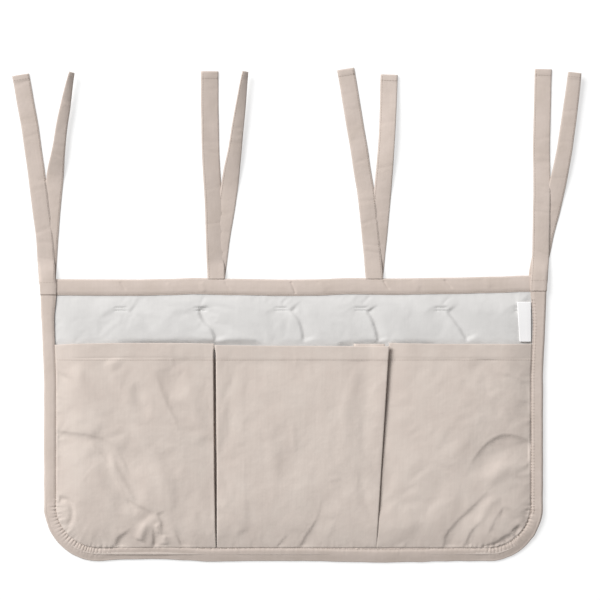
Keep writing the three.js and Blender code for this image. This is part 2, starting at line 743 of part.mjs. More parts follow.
// The label is a loop of ribbon. Its fold points in over the panel and stands off it.
function addLabel() {
  const height = 2 * LABEL_CLOTH + LABEL_ROOM;
  const y = TOP - LABEL_DROP;
  const seamX = halfWidth(y) - bindingWidth(y) - FOOT_GAP;
  const tilt = THREE.MathUtils.degToRad(LABEL_LIFT);
  const section = foldedSection(LABEL_LENGTH, height, LABEL_CLOTH, LABEL_ROUND);
  const stop = (stopY) => ({
    at: [
      seamX - LABEL_LENGTH * Math.cos(tilt) - height * Math.sin(tilt),
      stopY,
      EDGE_BINDING_TOP - BINDING_CLOTH + LABEL_LENGTH * Math.sin(tilt),
    ],
    across: [Math.cos(tilt), 0, -Math.sin(tilt)],
    up: [Math.sin(tilt), 0, Math.cos(tilt)],
    section,
  });
  addPiece("side_label", sweptGeometry([stop(y - LABEL_WIDTH), stop(y)]), SATIN);
}

addQuilt();
addTacks();
addBindings();
addBindingStitches();
addPleats();
addOuterPocket("left", -1);
addCentrePocket();
addOuterPocket("right", 1);
addTies();
addLabel();

export default organizer;
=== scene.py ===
"""Dresses a fabric crib organizer that lies flat on its back, in metres, around its fixed frame.

A white quilted panel is bound in beige cotton and carries three beige pockets with inverted
box pleats between them. Four pairs of ties stand out of its top edge, and a loop label is
caught in its right side. +X runs to the right, +Y towards the ties and +Z out of the front.
"""

import math
from dataclasses import dataclass

import bpy
import numpy as np
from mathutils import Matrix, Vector
from mathutils.bvhtree import BVHTree


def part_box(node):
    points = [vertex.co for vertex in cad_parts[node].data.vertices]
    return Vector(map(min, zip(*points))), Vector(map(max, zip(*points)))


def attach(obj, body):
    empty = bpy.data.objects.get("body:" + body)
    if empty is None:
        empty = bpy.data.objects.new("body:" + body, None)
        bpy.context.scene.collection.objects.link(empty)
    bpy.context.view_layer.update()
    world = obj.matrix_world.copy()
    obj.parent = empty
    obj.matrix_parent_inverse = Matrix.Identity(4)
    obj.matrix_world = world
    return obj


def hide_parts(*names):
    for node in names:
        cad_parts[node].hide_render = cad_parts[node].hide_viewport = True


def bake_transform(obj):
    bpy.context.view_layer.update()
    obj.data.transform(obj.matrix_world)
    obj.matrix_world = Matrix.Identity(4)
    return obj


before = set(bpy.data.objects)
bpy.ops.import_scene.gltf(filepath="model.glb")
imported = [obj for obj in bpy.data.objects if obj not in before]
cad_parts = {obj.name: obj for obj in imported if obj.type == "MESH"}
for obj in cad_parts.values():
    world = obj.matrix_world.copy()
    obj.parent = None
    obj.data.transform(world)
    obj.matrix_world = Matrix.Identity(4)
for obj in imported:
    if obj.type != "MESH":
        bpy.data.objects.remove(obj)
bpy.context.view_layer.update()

bl_info = {
    "name": "Crib Organizer",
    "version": (1, 0, 0),
    "blender": (4, 5, 0),
    "location": "View3D > Sidebar > Organizer",
    "description": "Dresses a quilted crib organizer with pockets, bindings, ties and a label",
    "category": "Add Mesh",
}

MM = 0.001

# The panel's outline, from the frame's edge binding, and its curves
BINDING_LOW, BINDING_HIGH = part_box("edge_binding")
SIDE = BINDING_HIGH.x
TOP = BINDING_HIGH.y
BOTTOM = BINDING_LOW.y
CORNER_RADIUS = 66 * MM
SIDE_TAPER = 5 * MM
TAPER_RUN = 115 * MM
LOW_SIDE = SIDE - SIDE_TAPER
CORNER_Y = BOTTOM + CORNER_RADIUS

# How far each binding shows over the front
CORNER_STRIP = 20 * MM
SIDE_STRIP = 14.5 * MM
BOTTOM_STRIP = 16.5 * MM
STRIP_NARROWING = 60 * MM
TOP_BAND = 19 * MM
SEAM_Y = BOTTOM + BOTTOM_STRIP

# How far the top edge stands over its straight line, and the bottom edge inside its own: points
# (x, rise) in millimetres
TOP_WAVE = [(-300, 0.2), (-273, 0), (-231, -0.2), (-188, -0.4), (-146, 0.4), (-117, 1.5), (-75, 0.5),
            (-4, -0.5), (24, -0.2), (67, 1.4), (114, 0.8), (185, 1.8), (241, 3.0), (270, 4.2), (300, 4.4)]
BOTTOM_WAVE = [(-240, 0), (-200, 2.2), (-158, 2.6), (-129, 1.4), (-101, -0.4), (-73, 0.1), (-30, 0.6),
               (27, 0.5), (55, -0.5), (97, -1.2), (140, -0.7), (182, 0.3), (225, 0.6), (240, 0)]

# Heights of the layers where the seams press them
STRIP_TOP = BINDING_HIGH.z
BAND_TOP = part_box("top_binding")[1].z
PRESSED_FACE = 3.9 * MM
PRESSED_LINING = 1.1 * MM
SEWN_POCKET = 4.6 * MM
SEAM_FLAT = 3 * MM

# The quilt where it puffs up, and its bar tacks
PUFFED_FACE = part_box("quilt_face")[1].z
PUFFED_LINING = 0.3 * MM
EDGE_REACH = 22 * MM
TUFT_REACH = 19 * MM
TACK_PULL = 0.4
TACK_LENGTH = 12 * MM
TACK_SPREAD = 3.6 * MM

# Pockets
POCKET_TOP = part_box("centre_pocket_front")[1].y
POCKET_TUCK = 8 * MM
POCKET_RISE = 32 * MM
HEM_DEPTH = 18 * MM
LEFT_DIVIDER = {"top": -93 * MM, "foot": -91 * MM, "gap": 3.3 * MM, "foot share": 1.0}
RIGHT_DIVIDER = {"top": 113 * MM, "foot": 98 * MM, "gap": 0.8 * MM, "foot share": 0.3}
PLEAT_DEPTH = 40 * MM
PLEAT_PRESS = 2.2 * MM

# Cloths
SHEET_CLOTH = 0.5 * MM
PLEAT_CLOTH = 0.35 * MM
BINDING_CLOTH = 0.6 * MM
TIE_CLOTH = 1.5 * MM
RIBBON = 0.35 * MM


def smooth(t):
    t = np.clip(t, 0, 1)
    return t * t * (3 - 2 * t)


def lerp(a, b, t):
    return a + (b - a) * t


def bell(t):
    return np.exp(-t * t)


# Places on the panel


def half_width(y, inset=0.0):
    """Half the width of the panel's outline at y, drawn in all round by inset."""
    y = np.asarray(y, float)
    straight = SIDE - SIDE_TAPER * np.clip((TOP - y) / TAPER_RUN, 0, 1) - inset
    reach = (CORNER_RADIUS - inset) ** 2 - (CORNER_Y - y) ** 2
    round_part = LOW_SIDE - CORNER_RADIUS + np.sqrt(np.maximum(reach, 0))
    return np.where(y >= CORNER_Y, straight, round_part)


def inset_at(x, y):
    """How far a place lies inside the sides, the lower corners and the bottom."""
    across = np.abs(x) - (LOW_SIDE - CORNER_RADIUS)
    down = CORNER_Y - y
    straight = np.minimum(half_width(np.maximum(y, CORNER_Y)) - np.abs(x), y - BOTTOM)
    return np.where((across > 0) & (down > 0), CORNER_RADIUS - np.hypot(across, down), straight)


def strip_width(y):
    """How wide the edge binding shows at y."""
    to_side = smooth((TOP - y) / STRIP_NARROWING)
    to_bottom = smooth((CORNER_Y - y) / CORNER_RADIUS)
    return lerp(lerp(CORNER_STRIP, SIDE_STRIP, to_side), BOTTOM_STRIP, to_bottom)


def from_seam(x, y):
    """How far a place lies inside the edge binding's seam."""
    return inset_at(x, y) - strip_width(y)


def seam_place(x, y):
    """How far round the seam a place lies: left side, corner, bottom, corner, right side."""
    core = LOW_SIDE - CORNER_RADIUS
    arc = CORNER_RADIUS - SIDE_STRIP
    side = TOP - CORNER_Y
    angle = np.arctan2(np.maximum(CORNER_Y - y, 0), np.maximum(np.abs(x) - core, 1e-9))
    past_side = np.where(np.abs(x) < core, arc * math.pi / 2 + core - np.abs(x), arc * angle)
    beside = (y > CORNER_Y) & (inset_at(x, y) < y - BOTTOM)
    place = np.where(y > CORNER_Y, TOP - y, side) + np.where(beside, 0, past_side)
    total = 2 * (side + arc * math.pi / 2 + core)
    return np.where(x < 0, place, total - place)


def waved(x, points):
    """A soft curve through points (x, height) in millimetres."""
    xs, heights = np.array(points, float).T * MM
    k = np.clip(np.searchsorted(xs, x) - 1, 0, len(xs) - 2)
    return lerp(heights[k], heights[k + 1], smooth((x - xs[k]) / (xs[k + 1] - xs[k])))


def band_seam(x):
    """The lower edge of the top binding, which the ties pull up and which sags between them."""
    return TOP - TOP_BAND + waved(x, TOP_WAVE)


def from_seams(x, y):
    """How far a place lies inside the nearer seam of the two bindings."""
    return np.minimum(from_seam(x, y), band_seam(x) - y)


def up_pocket(y):
    """How far up the pockets y lies: 0 at the bottom seam and 1 at their top edge."""
    return (y - SEAM_Y) / (POCKET_TOP - SEAM_Y)


def divider_x(divider, y):
    return lerp(divider["foot"], divider["top"], up_pocket(y))


# Creases, gathers and crumple, as heights over the plane


def noise(x, y, seed):
    """Smooth noise from -1 to 1, about one unit across."""
    table = np.random.default_rng(seed).uniform(-1, 1, (97, 89))
    i, j = np.floor(x).astype(int), np.floor(y).astype(int)
    u, v = smooth(x - i), smooth(y - j)
    rows, columns = table.shape

    def at(a, b):
        return table[a % rows, b % columns]

    low = lerp(at(i, j), at(i + 1, j), u)
    high = lerp(at(i, j + 1), at(i + 1, j + 1), u)
    return lerp(low, high, v)


def crumple(x, y, size, seed):
    """Three layers of noise, each half the size of the one before."""
    return sum(noise(x / size * 2**k, y / size * 2**k, seed + k) / 2**k for k in range(3))


def curve_through(points, count):
    """Evenly counted places on a smooth curve through the points."""
    points = np.asarray(points, float)
    ends = np.vstack([2 * points[0] - points[1], points, 2 * points[-1] - points[-2]])
    t = np.linspace(0, len(points) - 1, count)
    k = np.minimum(t.astype(int), len(points) - 2)
    u = (t - k)[:, None]
    a, b, c, d = ends[k], ends[k + 1], ends[k + 2], ends[k + 3]
    return 0.5 * (2 * b + (c - a) * u + (2 * a - 5 * b + 4 * c - d) * u**2 + (3 * b - a - 3 * c + d) * u**3)


def along_path(x, y, points):
    """How far each place lies from a path, on which side, and how far along it, from 0 to 1."""
    path = curve_through(points, 8 * (len(points) - 1) + 1)
    steps = len(path) - 1
    nearest = np.full(np.shape(x), np.inf)
    side = np.zeros(np.shape(x))
    share = np.zeros(np.shape(x))
    for k, (a, b) in enumerate(zip(path, path[1:])):
        run = b - a
        px, py = x - a[0], y - a[1]
        t = np.clip((px * run[0] + py * run[1]) / (run @ run), 0, 1)
        away = np.hypot(px - t * run[0], py - t * run[1])
        closer = away < nearest
        nearest = np.where(closer, away, nearest)
        side = np.where(closer, np.sign(run[0] * py - run[1] * px), side)
        share = np.where(closer, (k + t) / steps, share)
    return nearest, side, share


# Where a crease rises or fades within less than AT_SEAM of its length, it meets a seam there, and
# it runs on past the seam by PAST_SEAM millimetres
AT_SEAM = 0.06
PAST_SEAM = 14
CREST_SHARE = 0.16
DIP_SHARE = 0.55


def unit(way):
    return way / np.linalg.norm(way)


def crease(x, y, points, steep, sharp, before, after, rise=0.05, fade=0.5):
    """A fold along a path: the cloth stands up on the left of its way, or on the right where
    steep is negative, and falls off past the path. Steep is its slope there, sharp the length of
    its fall in millimetres, and it evens out again over the two reaches."""
    points = np.array(points, float)
    if rise < AT_SEAM:
        points = np.vstack([points[0] + PAST_SEAM * unit(points[0] - points[1]), points])
    if fade < AT_SEAM:
        points = np.vstack([points, points[-1] + PAST_SEAM * unit(points[-1] - points[-2])])
    away, side, share = along_path(x, y, points * MM)
    strength = smooth(share / rise) * smooth((1 - share) / fade)
    up = side * away * np.sign(steep)
    low = np.maximum(-up, 0)
    ratio = after / sharp
    deepest = ratio ** (-1 / (ratio - 1)) - ratio ** (-ratio / (ratio - 1))
    dip = (np.exp(-low / (after * MM)) - np.exp(-low / (sharp * MM))) / deepest
    dip = dip * smooth(1.5 - low / (2 * after * MM))
    crest = np.tanh(up / (sharp * MM)) * np.exp(-away / (before * MM))
    return abs(steep) * sharp * MM * strength * (CREST_SHARE * crest - DIP_SHARE * dip)


def ridge(x, y, points, height, width, rise=0.2, fade=0.5):
    """A rounded ridge along a path, in millimetres, or a groove where its height is negative."""
    away, _, share = along_path(x, y, np.array(points) * MM)
    strength = smooth(share / rise) * smooth((1 - share) / fade)
    return height * MM * strength * bell(away / (width * MM))


def folded(x, y, creases, ridges):
    height = sum(crease(x, y, *row) for row in creases)
    return height + sum(ridge(x, y, *row) for row in ridges)


def puckers(place, inward, pitch, reach, seed):
    """Small ridges that run in from a seam and die out, from 0 to 1 high."""
    along = place / pitch + 0.35 * noise(inward / reach, place / pitch / 3, seed + 9)
    ridge = 1 - np.abs(noise(along, inward / (2.5 * reach), seed))
    long_ridge = 1 - np.abs(noise(along / 2.3, inward / (4 * reach), seed + 1))
    fade = np.exp(-np.maximum(inward, 0) / reach)
    return (0.6 * ridge**3 + 0.5 * long_ridge**3) * fade


def gathers(place, pitch, seed):
    """Narrow grooves square to a seam, one for about each pitch, from 0 to 1 deep."""
    level = np.zeros_like(place)
    turn = place / pitch + 0.6 * noise(place / (3.1 * pitch), level, seed)
    depth = 0.65 + 0.35 * noise(1.3 * place / pitch, level, seed + 1)
    return depth * (0.5 + 0.5 * np.cos(2 * math.pi * turn)) ** 3


# Meshes


def new_object(name, mesh, finish=None):
    piece = bpy.data.objects.new(name, mesh)
    bpy.context.scene.collection.objects.link(piece)
    if finish:
        mesh.materials.append(finish)
    return piece


def mesh_of_quads(name, points, quads, uv=None):
    mesh = bpy.data.meshes.new(name)
    mesh.vertices.add(len(points))
    mesh.vertices.foreach_set("co", np.asarray(points, np.float32).ravel())
    mesh.loops.add(quads.size)
    mesh.loops.foreach_set("vertex_index", quads.ravel().astype(np.int32))
    mesh.polygons.add(len(quads))
    mesh.polygons.foreach_set("loop_start", np.arange(0, quads.size, 4, dtype=np.int32))
    mesh.polygons.foreach_set("use_smooth", np.ones(len(quads), bool))
    mesh.update(calc_edges=True)
    if uv is not None:
        layer = mesh.uv_layers.new(name="cloth")
        layer.data.foreach_set("uv", np.asarray(uv, np.float32)[quads.ravel()].ravel())
    mesh.validate()
    return mesh


def normals_of(grid):
    """Unit normals of a grid of points, rows up and columns to the right."""
    across = np.gradient(grid, axis=1)
    up = np.gradient(grid, axis=0)
    normal = np.cross(across, up)
    return normal / np.maximum(np.linalg.norm(normal, axis=2, keepdims=True), 1e-12)


def quads_of(rows, columns):
    """The faces of a grid of points, anticlockwise."""
    index = np.arange(rows * columns).reshape(rows, columns)
    corners = [index[:-1, :-1], index[:-1, 1:], index[1:, 1:], index[1:, :-1]]
    return np.stack(corners, -1).reshape(-1, 4)


def border_of(rows, columns):
    """Indices of a grid's border, anticlockwise."""
    index = np.arange(rows * columns).reshape(rows, columns)
    return np.concatenate([index[0, :-1], index[:-1, -1], index[-1, :0:-1], index[:0:-1, 0]])


def shell(name, top, under, finish, bulge=0.0):
    """A closed solid between two grids of points, with a rounded rim."""
    rows, columns = top.shape[:2]
    upper = quads_of(rows, columns)
    lower = upper[:, ::-1] + rows * columns
    border = border_of(rows, columns)
    flat_top, flat_under = top.reshape(-1, 3), under.reshape(-1, 3)
    middle = (flat_top[border] + flat_under[border]) / 2
    way = np.roll(middle, -1, 0) - np.roll(middle, 1, 0)
    out = np.cross(way, flat_top[border] - flat_under[border])
    out /= np.maximum(np.linalg.norm(out, axis=1, keepdims=True), 1e-12)
    rim = middle + out * bulge
    first = 2 * rows * columns
    ring = first + np.arange(len(border))
    following = np.roll(ring, -1)
    next_border = np.roll(border, -1)
    to_top = np.stack([ring, following, next_border, border], -1)
    far, near = next_border + rows * columns, border + rows * columns
    to_under = np.stack([near, far, following, ring], -1)
    points = np.vstack([flat_top, flat_under, rim])
    quads = np.vstack([upper, lower, to_top, to_under])
    grid = (top + under) / 2
    across = np.cumsum(np.linalg.norm(np.diff(grid, axis=1, prepend=grid[:, :1]), axis=2), 1)
    up = np.cumsum(np.linalg.norm(np.diff(grid, axis=0, prepend=grid[:1]), axis=2), 0)
    across -= across[:, columns // 2 : columns // 2 + 1]
    uv = np.stack([across, up], -1).reshape(-1, 2)
    uv = np.vstack([uv, uv, uv[border]])
    return new_object(name, mesh_of_quads(name, points, quads, uv), finish)


def cloth(name, grid, thickness, finish):
    """A sheet of cloth: a closed thin solid about a grid of points."""
    half = normals_of(grid) * (np.asarray(thickness)[..., None] / 2)
    round_rim = 0.5 * float(np.min(thickness))
    return shell(name, grid + half, grid - half, finish, round_rim)


def graded(low, high, step, places=(), fine=0.5 * MM, reach=2 * MM):
    """Values from low to high about step apart, and finer near the places."""
    values = [low]
    while values[-1] < high - 1e-7:
        near = min((abs(values[-1] + fine - place) for place in places), default=1.0)
        stride = fine if near < reach else step
        ahead = [place - reach - values[-1] for place in places if place - reach > values[-1]]
        gap = min(ahead, default=1.0)
        values.append(values[-1] + max(min(stride, gap) if gap > fine else stride, fine))
    values[-1] = high
    return np.array(values)


def level_of(pieces, points, side=1):
    """The top of the pieces at each point (x, y), or their underside where side is -1."""
    graph = bpy.context.evaluated_depsgraph_get()
    trees = [BVHTree.FromObject(piece, graph) for piece in pieces]
    levels = []
    for x, y in points:
        hits = [tree.ray_cast(Vector((x, y, side)), Vector((0, 0, -side)))[0] for tree in trees]
        levels.append(side * max((side * hit.z for hit in hits if hit), default=0.0))
    return np.array(levels)


def dress(piece, slot, *nodes):
    """Puts a piece on the panel's body, in the place of the frame's nodes."""
    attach(piece, "root")
    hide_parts(*nodes)


# Cloth simulation: a sheet that is blown up against its held places


def cubic(at, to):
    """Weights that read values at even places smoothly at others, and 0 beyond them."""
    t = (np.asarray(to) - at[0]) / (at[1] - at[0])
    last = len(at) - 1
    k = np.clip(np.floor(t).astype(int), 0, last - 1)
    u = np.clip(t - k, 0, 1)
    parts = (
        (-1, (-u + 2 * u**2 - u**3) / 2),
        (0, (2 - 5 * u**2 + 3 * u**3) / 2),
        (1, (u + 4 * u**2 - 3 * u**3) / 2),
        (2, (-(u**2) + u**3) / 2),
    )
    weights = np.zeros((len(t), len(at)))
    for offset, part in parts:
        np.add.at(weights, (np.arange(len(t)), np.clip(k + offset, 0, last)), part)
    return weights * ((t >= 0) & (t <= last))[:, None]


SETTLING = 20
LIGHT_COTTON = {
    "quality": 6,
    "mass": 0.2,
    "tension_stiffness": 15,
    "compression_stiffness": 15,
    "shear_stiffness": 6,
    "bending_stiffness": 0.4,
    "air_damping": 3,
    "vertex_group_mass": "held",
    "vertex_group_shrink": "loose",
    "shrink_min": 0,
    "use_pressure": True,
}


def blown(name, grid, held, loose, pressure, slack, most):
    """How far each point of a sheet moves as pressure blows it up between its held places. Its
    cloth is longer than its place by slack where loose is 1."""
    scene = bpy.context.scene
    sheet = new_object(name, mesh_of_quads(name, grid.reshape(-1, 3), quads_of(*grid.shape[:2])))
    pins = sheet.vertex_groups.new(name="held")
    pins.add([int(k) for k in np.nonzero(held.ravel())[0]], 1.0, "REPLACE")
    ease = sheet.vertex_groups.new(name="loose")
    for k, share in enumerate(loose.ravel()):
        ease.add([k], float(share), "REPLACE")
    modifier = sheet.modifiers.new("blown", "CLOTH")
    settings = modifier.settings
    for key, value in LIGHT_COTTON.items():
        setattr(settings, key, value)
    settings.shrink_max = -slack
    settings.uniform_pressure_force = pressure
    settings.effector_weights.gravity = 0
    modifier.collision_settings.use_collision = False
    modifier.point_cache.frame_start = 1
    modifier.point_cache.frame_end = SETTLING
    for number in range(1, SETTLING + 1):
        scene.frame_set(number)
    settled = sheet.evaluated_get(bpy.context.evaluated_depsgraph_get()).data
    places = np.empty(grid.size, np.float32)
    settled.vertices.foreach_get("co", places)
    bpy.data.objects.remove(sheet)
    scene.frame_set(1)
    moved = places.reshape(grid.shape) - grid
    size = np.linalg.norm(moved, axis=2, keepdims=True)
    return moved * most / np.maximum(size, most)


# Sewing: Geometry Nodes that set a stitch at every step along the rows


def node(tree, kind, inputs=None, **settings):
    """Adds a node to a tree, with its settings and its inputs. An input is a value, a socket
    or a node, whose first output it then takes."""
    made = tree.nodes.new(kind)
    for key, value in settings.items():
        setattr(made, key, value)
    for key, value in (inputs or {}).items():
        if isinstance(value, bpy.types.Node):
            value = value.outputs[0]
        if isinstance(value, bpy.types.NodeSocket):
            tree.links.new(value, made.inputs[key])
        else:
            made.inputs[key].default_value = value
    return made


def stitch_tree():
    """The tree that sews rows: its inputs are the rows, the pitch, the stitch and the thread."""
    tree = bpy.data.node_groups.new("row_of_stitches", "GeometryNodeTree")
    for name, kind in (
        ("Rows", "Geometry"),
        ("Pitch", "Float"),
        ("Stitch Length", "Float"),
        ("Thread Width", "Float"),
        ("Thread", "Material"),
    ):
        tree.interface.new_socket(name, in_out="INPUT", socket_type="NodeSocket" + kind)
    tree.interface.new_socket("Stitches", in_out="OUTPUT", socket_type="NodeSocketGeometry")
    given = node(tree, "NodeGroupInput").outputs
    curve = node(tree, "GeometryNodeMeshToCurve", {"Mesh": given["Rows"]})
    spacing = {"Curve": curve, "Length": given["Pitch"]}
    steps = node(tree, "GeometryNodeResampleCurve", spacing, mode="LENGTH")
    bead = node(tree, "GeometryNodeMeshUVSphere", {"Segments": 8, "Rings": 5, "Radius": 0.5})
    tangent = node(tree, "GeometryNodeInputTangent")
    turn = node(tree, "FunctionNodeAlignRotationToVector", {"Vector": tangent}, axis="X")
    width = given["Thread Width"]
    size = node(tree, "ShaderNodeCombineXYZ", {"X": given["Stitch Length"], "Y": width, "Z": width})
    beads = {"Points": steps, "Instance": bead, "Rotation": turn, "Scale": size}
    placed = node(tree, "GeometryNodeInstanceOnPoints", beads)
    real = node(tree, "GeometryNodeRealizeInstances", {"Geometry": placed})
    rounded = node(tree, "GeometryNodeSetShadeSmooth", {"Geometry": real})
    dyed = node(tree, "GeometryNodeSetMaterial", {"Geometry": rounded, "Material": given["Thread"]})
    node(tree, "NodeGroupOutput", {"Stitches": dyed})
    return tree


def input_key(tree, name):
    """The identifier of a tree's named input, which a modifier's value is set by."""
    return next(item.identifier for item in tree.interface.items_tree if item.name == name)


def sew(name, rows, finish, pitch=3 * MM, length=2.5 * MM, width=0.55 * MM):
    """A piece of stitches along rows of points."""
    tree = bpy.data.node_groups.get("row_of_stitches") or stitch_tree()
    points = np.vstack(rows)
    edges = []
    first = 0
    for row in rows:
        edges += [(first + k, first + k + 1) for k in range(len(row) - 1)]
        first += len(row)
    guide_mesh = bpy.data.meshes.new(name + "_guide")
    guide_mesh.from_pydata(points.tolist(), edges, [])
    guide = new_object(name + "_guide", guide_mesh)
    modifier = guide.modifiers.new("sewing", "NODES")
    modifier.node_group = tree
    given = {"Pitch": pitch, "Stitch Length": length, "Thread Width": width, "Thread": finish}
    for key, value in given.items():
        modifier[input_key(tree, key)] = value
    graph = bpy.context.evaluated_depsgraph_get()
    mesh = bpy.data.meshes.new_from_object(guide.evaluated_get(graph))
    mesh.name = name
    bpy.data.objects.remove(guide)
    return new_object(name, mesh)


def sew_on(name, rows, pieces, finish, sink=0.05 * MM, **stitch):
    """Stitches along rows of (x, y) that lie on top of the pieces."""
    laid = [np.column_stack([row, level_of(pieces, row) - sink]) for row in rows]
    return sew(name, laid, finish, **stitch)


# Materials, and the real sizes of their patterns

SLUB_WIDTH = 2.2 * MM
SLUB_LENGTH = 50 * MM
CLOUD = 26 * MM
CRINKLE = 7 * MM
THREAD_TWIST = 1.2 * MM
TUFT_OF_FIBRE = 3 * MM
RIB_PITCH = 0.7 * MM


def linear(code):
    """An sRGB hex colour as linear light, with its alpha."""
    parts = [int(code[k : k + 2], 16) / 255 for k in (1, 3, 5)]
    return tuple(c / 12.92 if c <= 0.04045 else ((c + 0.055) / 1.055) ** 2.4 for c in parts) + (1,)


def material(name):
    made = bpy.data.materials.new(name)
    made.use_nodes = True
    made.node_tree.nodes.clear()
    return made


def woven_cotton(name, colour, shade, streak, spacing, sheen, relief):
    """Plain woven cotton: matte, with slubs along the warp, and softly creased from the press.
    Its weave is drawn as coarse as it needs to be to show."""
    tree = material(name).node_tree
    place = node(tree, "ShaderNodeUVMap", uv_map="cloth")
    solid = node(tree, "ShaderNodeTexCoord").outputs["Object"]
    slubs = (1 / SLUB_WIDTH, 1 / SLUB_LENGTH, 1)
    drawn = node(tree, "ShaderNodeMapping", {"Vector": place, "Scale": slubs})
    slub = node(tree, "ShaderNodeTexNoise", {"Vector": drawn, "Scale": 1.0, "Detail": 2.0})
    cloud = node(tree, "ShaderNodeTexNoise", {"Vector": solid, "Scale": 1 / CLOUD, "Detail": 3.0})
    crinkle = node(tree, "ShaderNodeTexNoise", {"Vector": solid, "Scale": 1 / CRINKLE, "Detail": 4.0})
    spread = {"Value": cloud.outputs["Fac"], "From Min": 0.3, "From Max": 0.7}
    tone = node(tree, "ShaderNodeMapRange", spread)
    base = node(tree, "ShaderNodeMix", {0: tone, 6: linear(shade), 7: linear(colour)}, data_type="RGBA")
    spread = {"Value": slub.outputs["Fac"], "From Min": 0.25, "From Max": 0.75}
    lines = node(tree, "ShaderNodeMapRange", {**spread, "To Min": 1 - streak, "To Max": 1 + streak})
    grey = node(tree, "ShaderNodeCombineColor", {0: lines, 1: lines, 2: lines})
    streaks = {0: 1.0, 6: base.outputs[2], 7: grey}
    dyed = node(tree, "ShaderNodeMix", streaks, data_type="RGBA", blend_type="MULTIPLY")
    threads = node(tree, "ShaderNodeVectorMath", {0: place, 3: 1 / spacing}, operation="SCALE")
    parts = node(tree, "ShaderNodeSeparateXYZ", {"Vector": threads})
    waves = []
    for way in ("X", "Y"):
        angle = node(tree, "ShaderNodeMath", {0: parts.outputs[way], 1: math.pi}, operation="MULTIPLY")
        waves.append(node(tree, "ShaderNodeMath", {0: angle}, operation="SINE"))
    weave = node(tree, "ShaderNodeMath", {0: waves[0], 1: waves[1]}, operation="MULTIPLY")
    fine = node(tree, "ShaderNodeBump", {"Height": weave, "Strength": 0.35, "Distance": 0.06 * MM})
    press = {"Height": crinkle.outputs["Fac"], "Strength": 1.0, "Distance": relief, "Normal": fine}
    look = {
        "Base Color": dyed.outputs[2],
        "Roughness": 0.9,
        "Specular IOR Level": 0.25,
        "Sheen Weight": sheen,
        "Sheen Roughness": 0.6,
        "Normal": node(tree, "ShaderNodeBump", press),
    }
    shader = node(tree, "ShaderNodeBsdfPrincipled", look)
    node(tree, "ShaderNodeOutputMaterial", {"Surface": shader})


def spun_thread(name, colour, shade):
    """Twisted polyester sewing thread: a little glossier than the cloth, with painted shade in the grooves
    of its twist.
    """
    tree = material(name).node_tree
    solid = node(tree, "ShaderNodeTexCoord").outputs["Object"]
    strands = {"Vector": solid, "Scale": 1 / THREAD_TWIST, "Distortion": 1.5}
    twist = node(tree, "ShaderNodeTexWave", strands, bands_direction="DIAGONAL").outputs["Fac"]
    base = node(tree, "ShaderNodeMix", {0: twist, 6: linear(shade), 7: linear(colour)}, data_type="RGBA")
    ridges = node(tree, "ShaderNodeBump", {"Height": twist, "Strength": 0.5, "Distance": 0.08 * MM})
    look = {"Base Color": base.outputs[2], "Roughness": 0.6, "Specular IOR Level": 0.4, "Normal": ridges}
    shader = node(tree, "ShaderNodeBsdfPrincipled", look)
    node(tree, "ShaderNodeOutputMaterial", {"Surface": shader})


def fibre_wadding(name, colour):
    """Polyester wadding: loose white fibre, fully matte."""
    tree = material(name).node_tree
    solid = node(tree, "ShaderNodeTexCoord").outputs["Object"]
    fluff = node(tree, "ShaderNodeTexNoise", {"Vector": solid, "Scale": 1 / TUFT_OF_FIBRE, "Detail": 6.0})
    height = {"Height": fluff.outputs["Fac"], "Strength": 1.0, "Distance": 0.8 * MM}
    loose = node(tree, "ShaderNodeBump", height)
    look = {"Base Color": linear(colour), "Roughness": 1.0, "Specular IOR Level": 0.1, "Normal": loose}
    shader = node(tree, "ShaderNodeBsdfPrincipled", look)
    node(tree, "ShaderNodeOutputMaterial", {"Surface": shader})


def satin_ribbon(name, colour, shade):
    """Woven satin label ribbon: smooth and faintly glossy, with fine ribs across it and painted shade
    between the ribs.
    """
    tree = material(name).node_tree
    place = node(tree, "ShaderNodeUVMap", uv_map="cloth")
    rows = {"Vector": place, "Scale": 1 / (2 * math.pi * RIB_PITCH), "Distortion": 0.4}
    ribs = node(tree, "ShaderNodeTexWave", rows, bands_direction="Y").outputs["Fac"]
    base = node(tree, "ShaderNodeMix", {0: ribs, 6: linear(shade), 7: linear(colour)}, data_type="RGBA")
    relief = node(tree, "ShaderNodeBump", {"Height": ribs, "Strength": 0.4, "Distance": 0.05 * MM})
    look = {
        "Base Color": base.outputs[2],
        "Roughness": 0.45,
        "Specular IOR Level": 0.5,
        "Sheen Weight": 0.1,
        "Normal": relief,
    }
    shader = node(tree, "ShaderNodeBsdfPrincipled", look)
    node(tree, "ShaderNodeOutputMaterial", {"Surface": shader})


def seamless_paper(name, body, glow):
    """White studio paper: plain white to the light that falls on it, and to the camera white
    with a soft shadow."""
    made = material(name)
    tree = made.node_tree
    paper = node(tree, "ShaderNodeBsdfDiffuse", {"Color": (body, body, body, 1)})
    white = node(tree, "ShaderNodeBsdfDiffuse", {"Color": linear("#f4f4f4")})
    light = node(tree, "ShaderNodeEmission", {"Strength": glow})
    shown = node(tree, "ShaderNodeAddShader", {0: paper, 1: light})
    rays = node(tree, "ShaderNodeLightPath").outputs
    kinds = {0: rays["Is Camera Ray"], 1: rays["Is Glossy Ray"]}
    seen = node(tree, "ShaderNodeMath", kinds, operation="MAXIMUM")
    both = node(tree, "ShaderNodeMixShader", {0: seen, 1: white, 2: shown})
    node(tree, "ShaderNodeOutputMaterial", {"Surface": both})
    return made


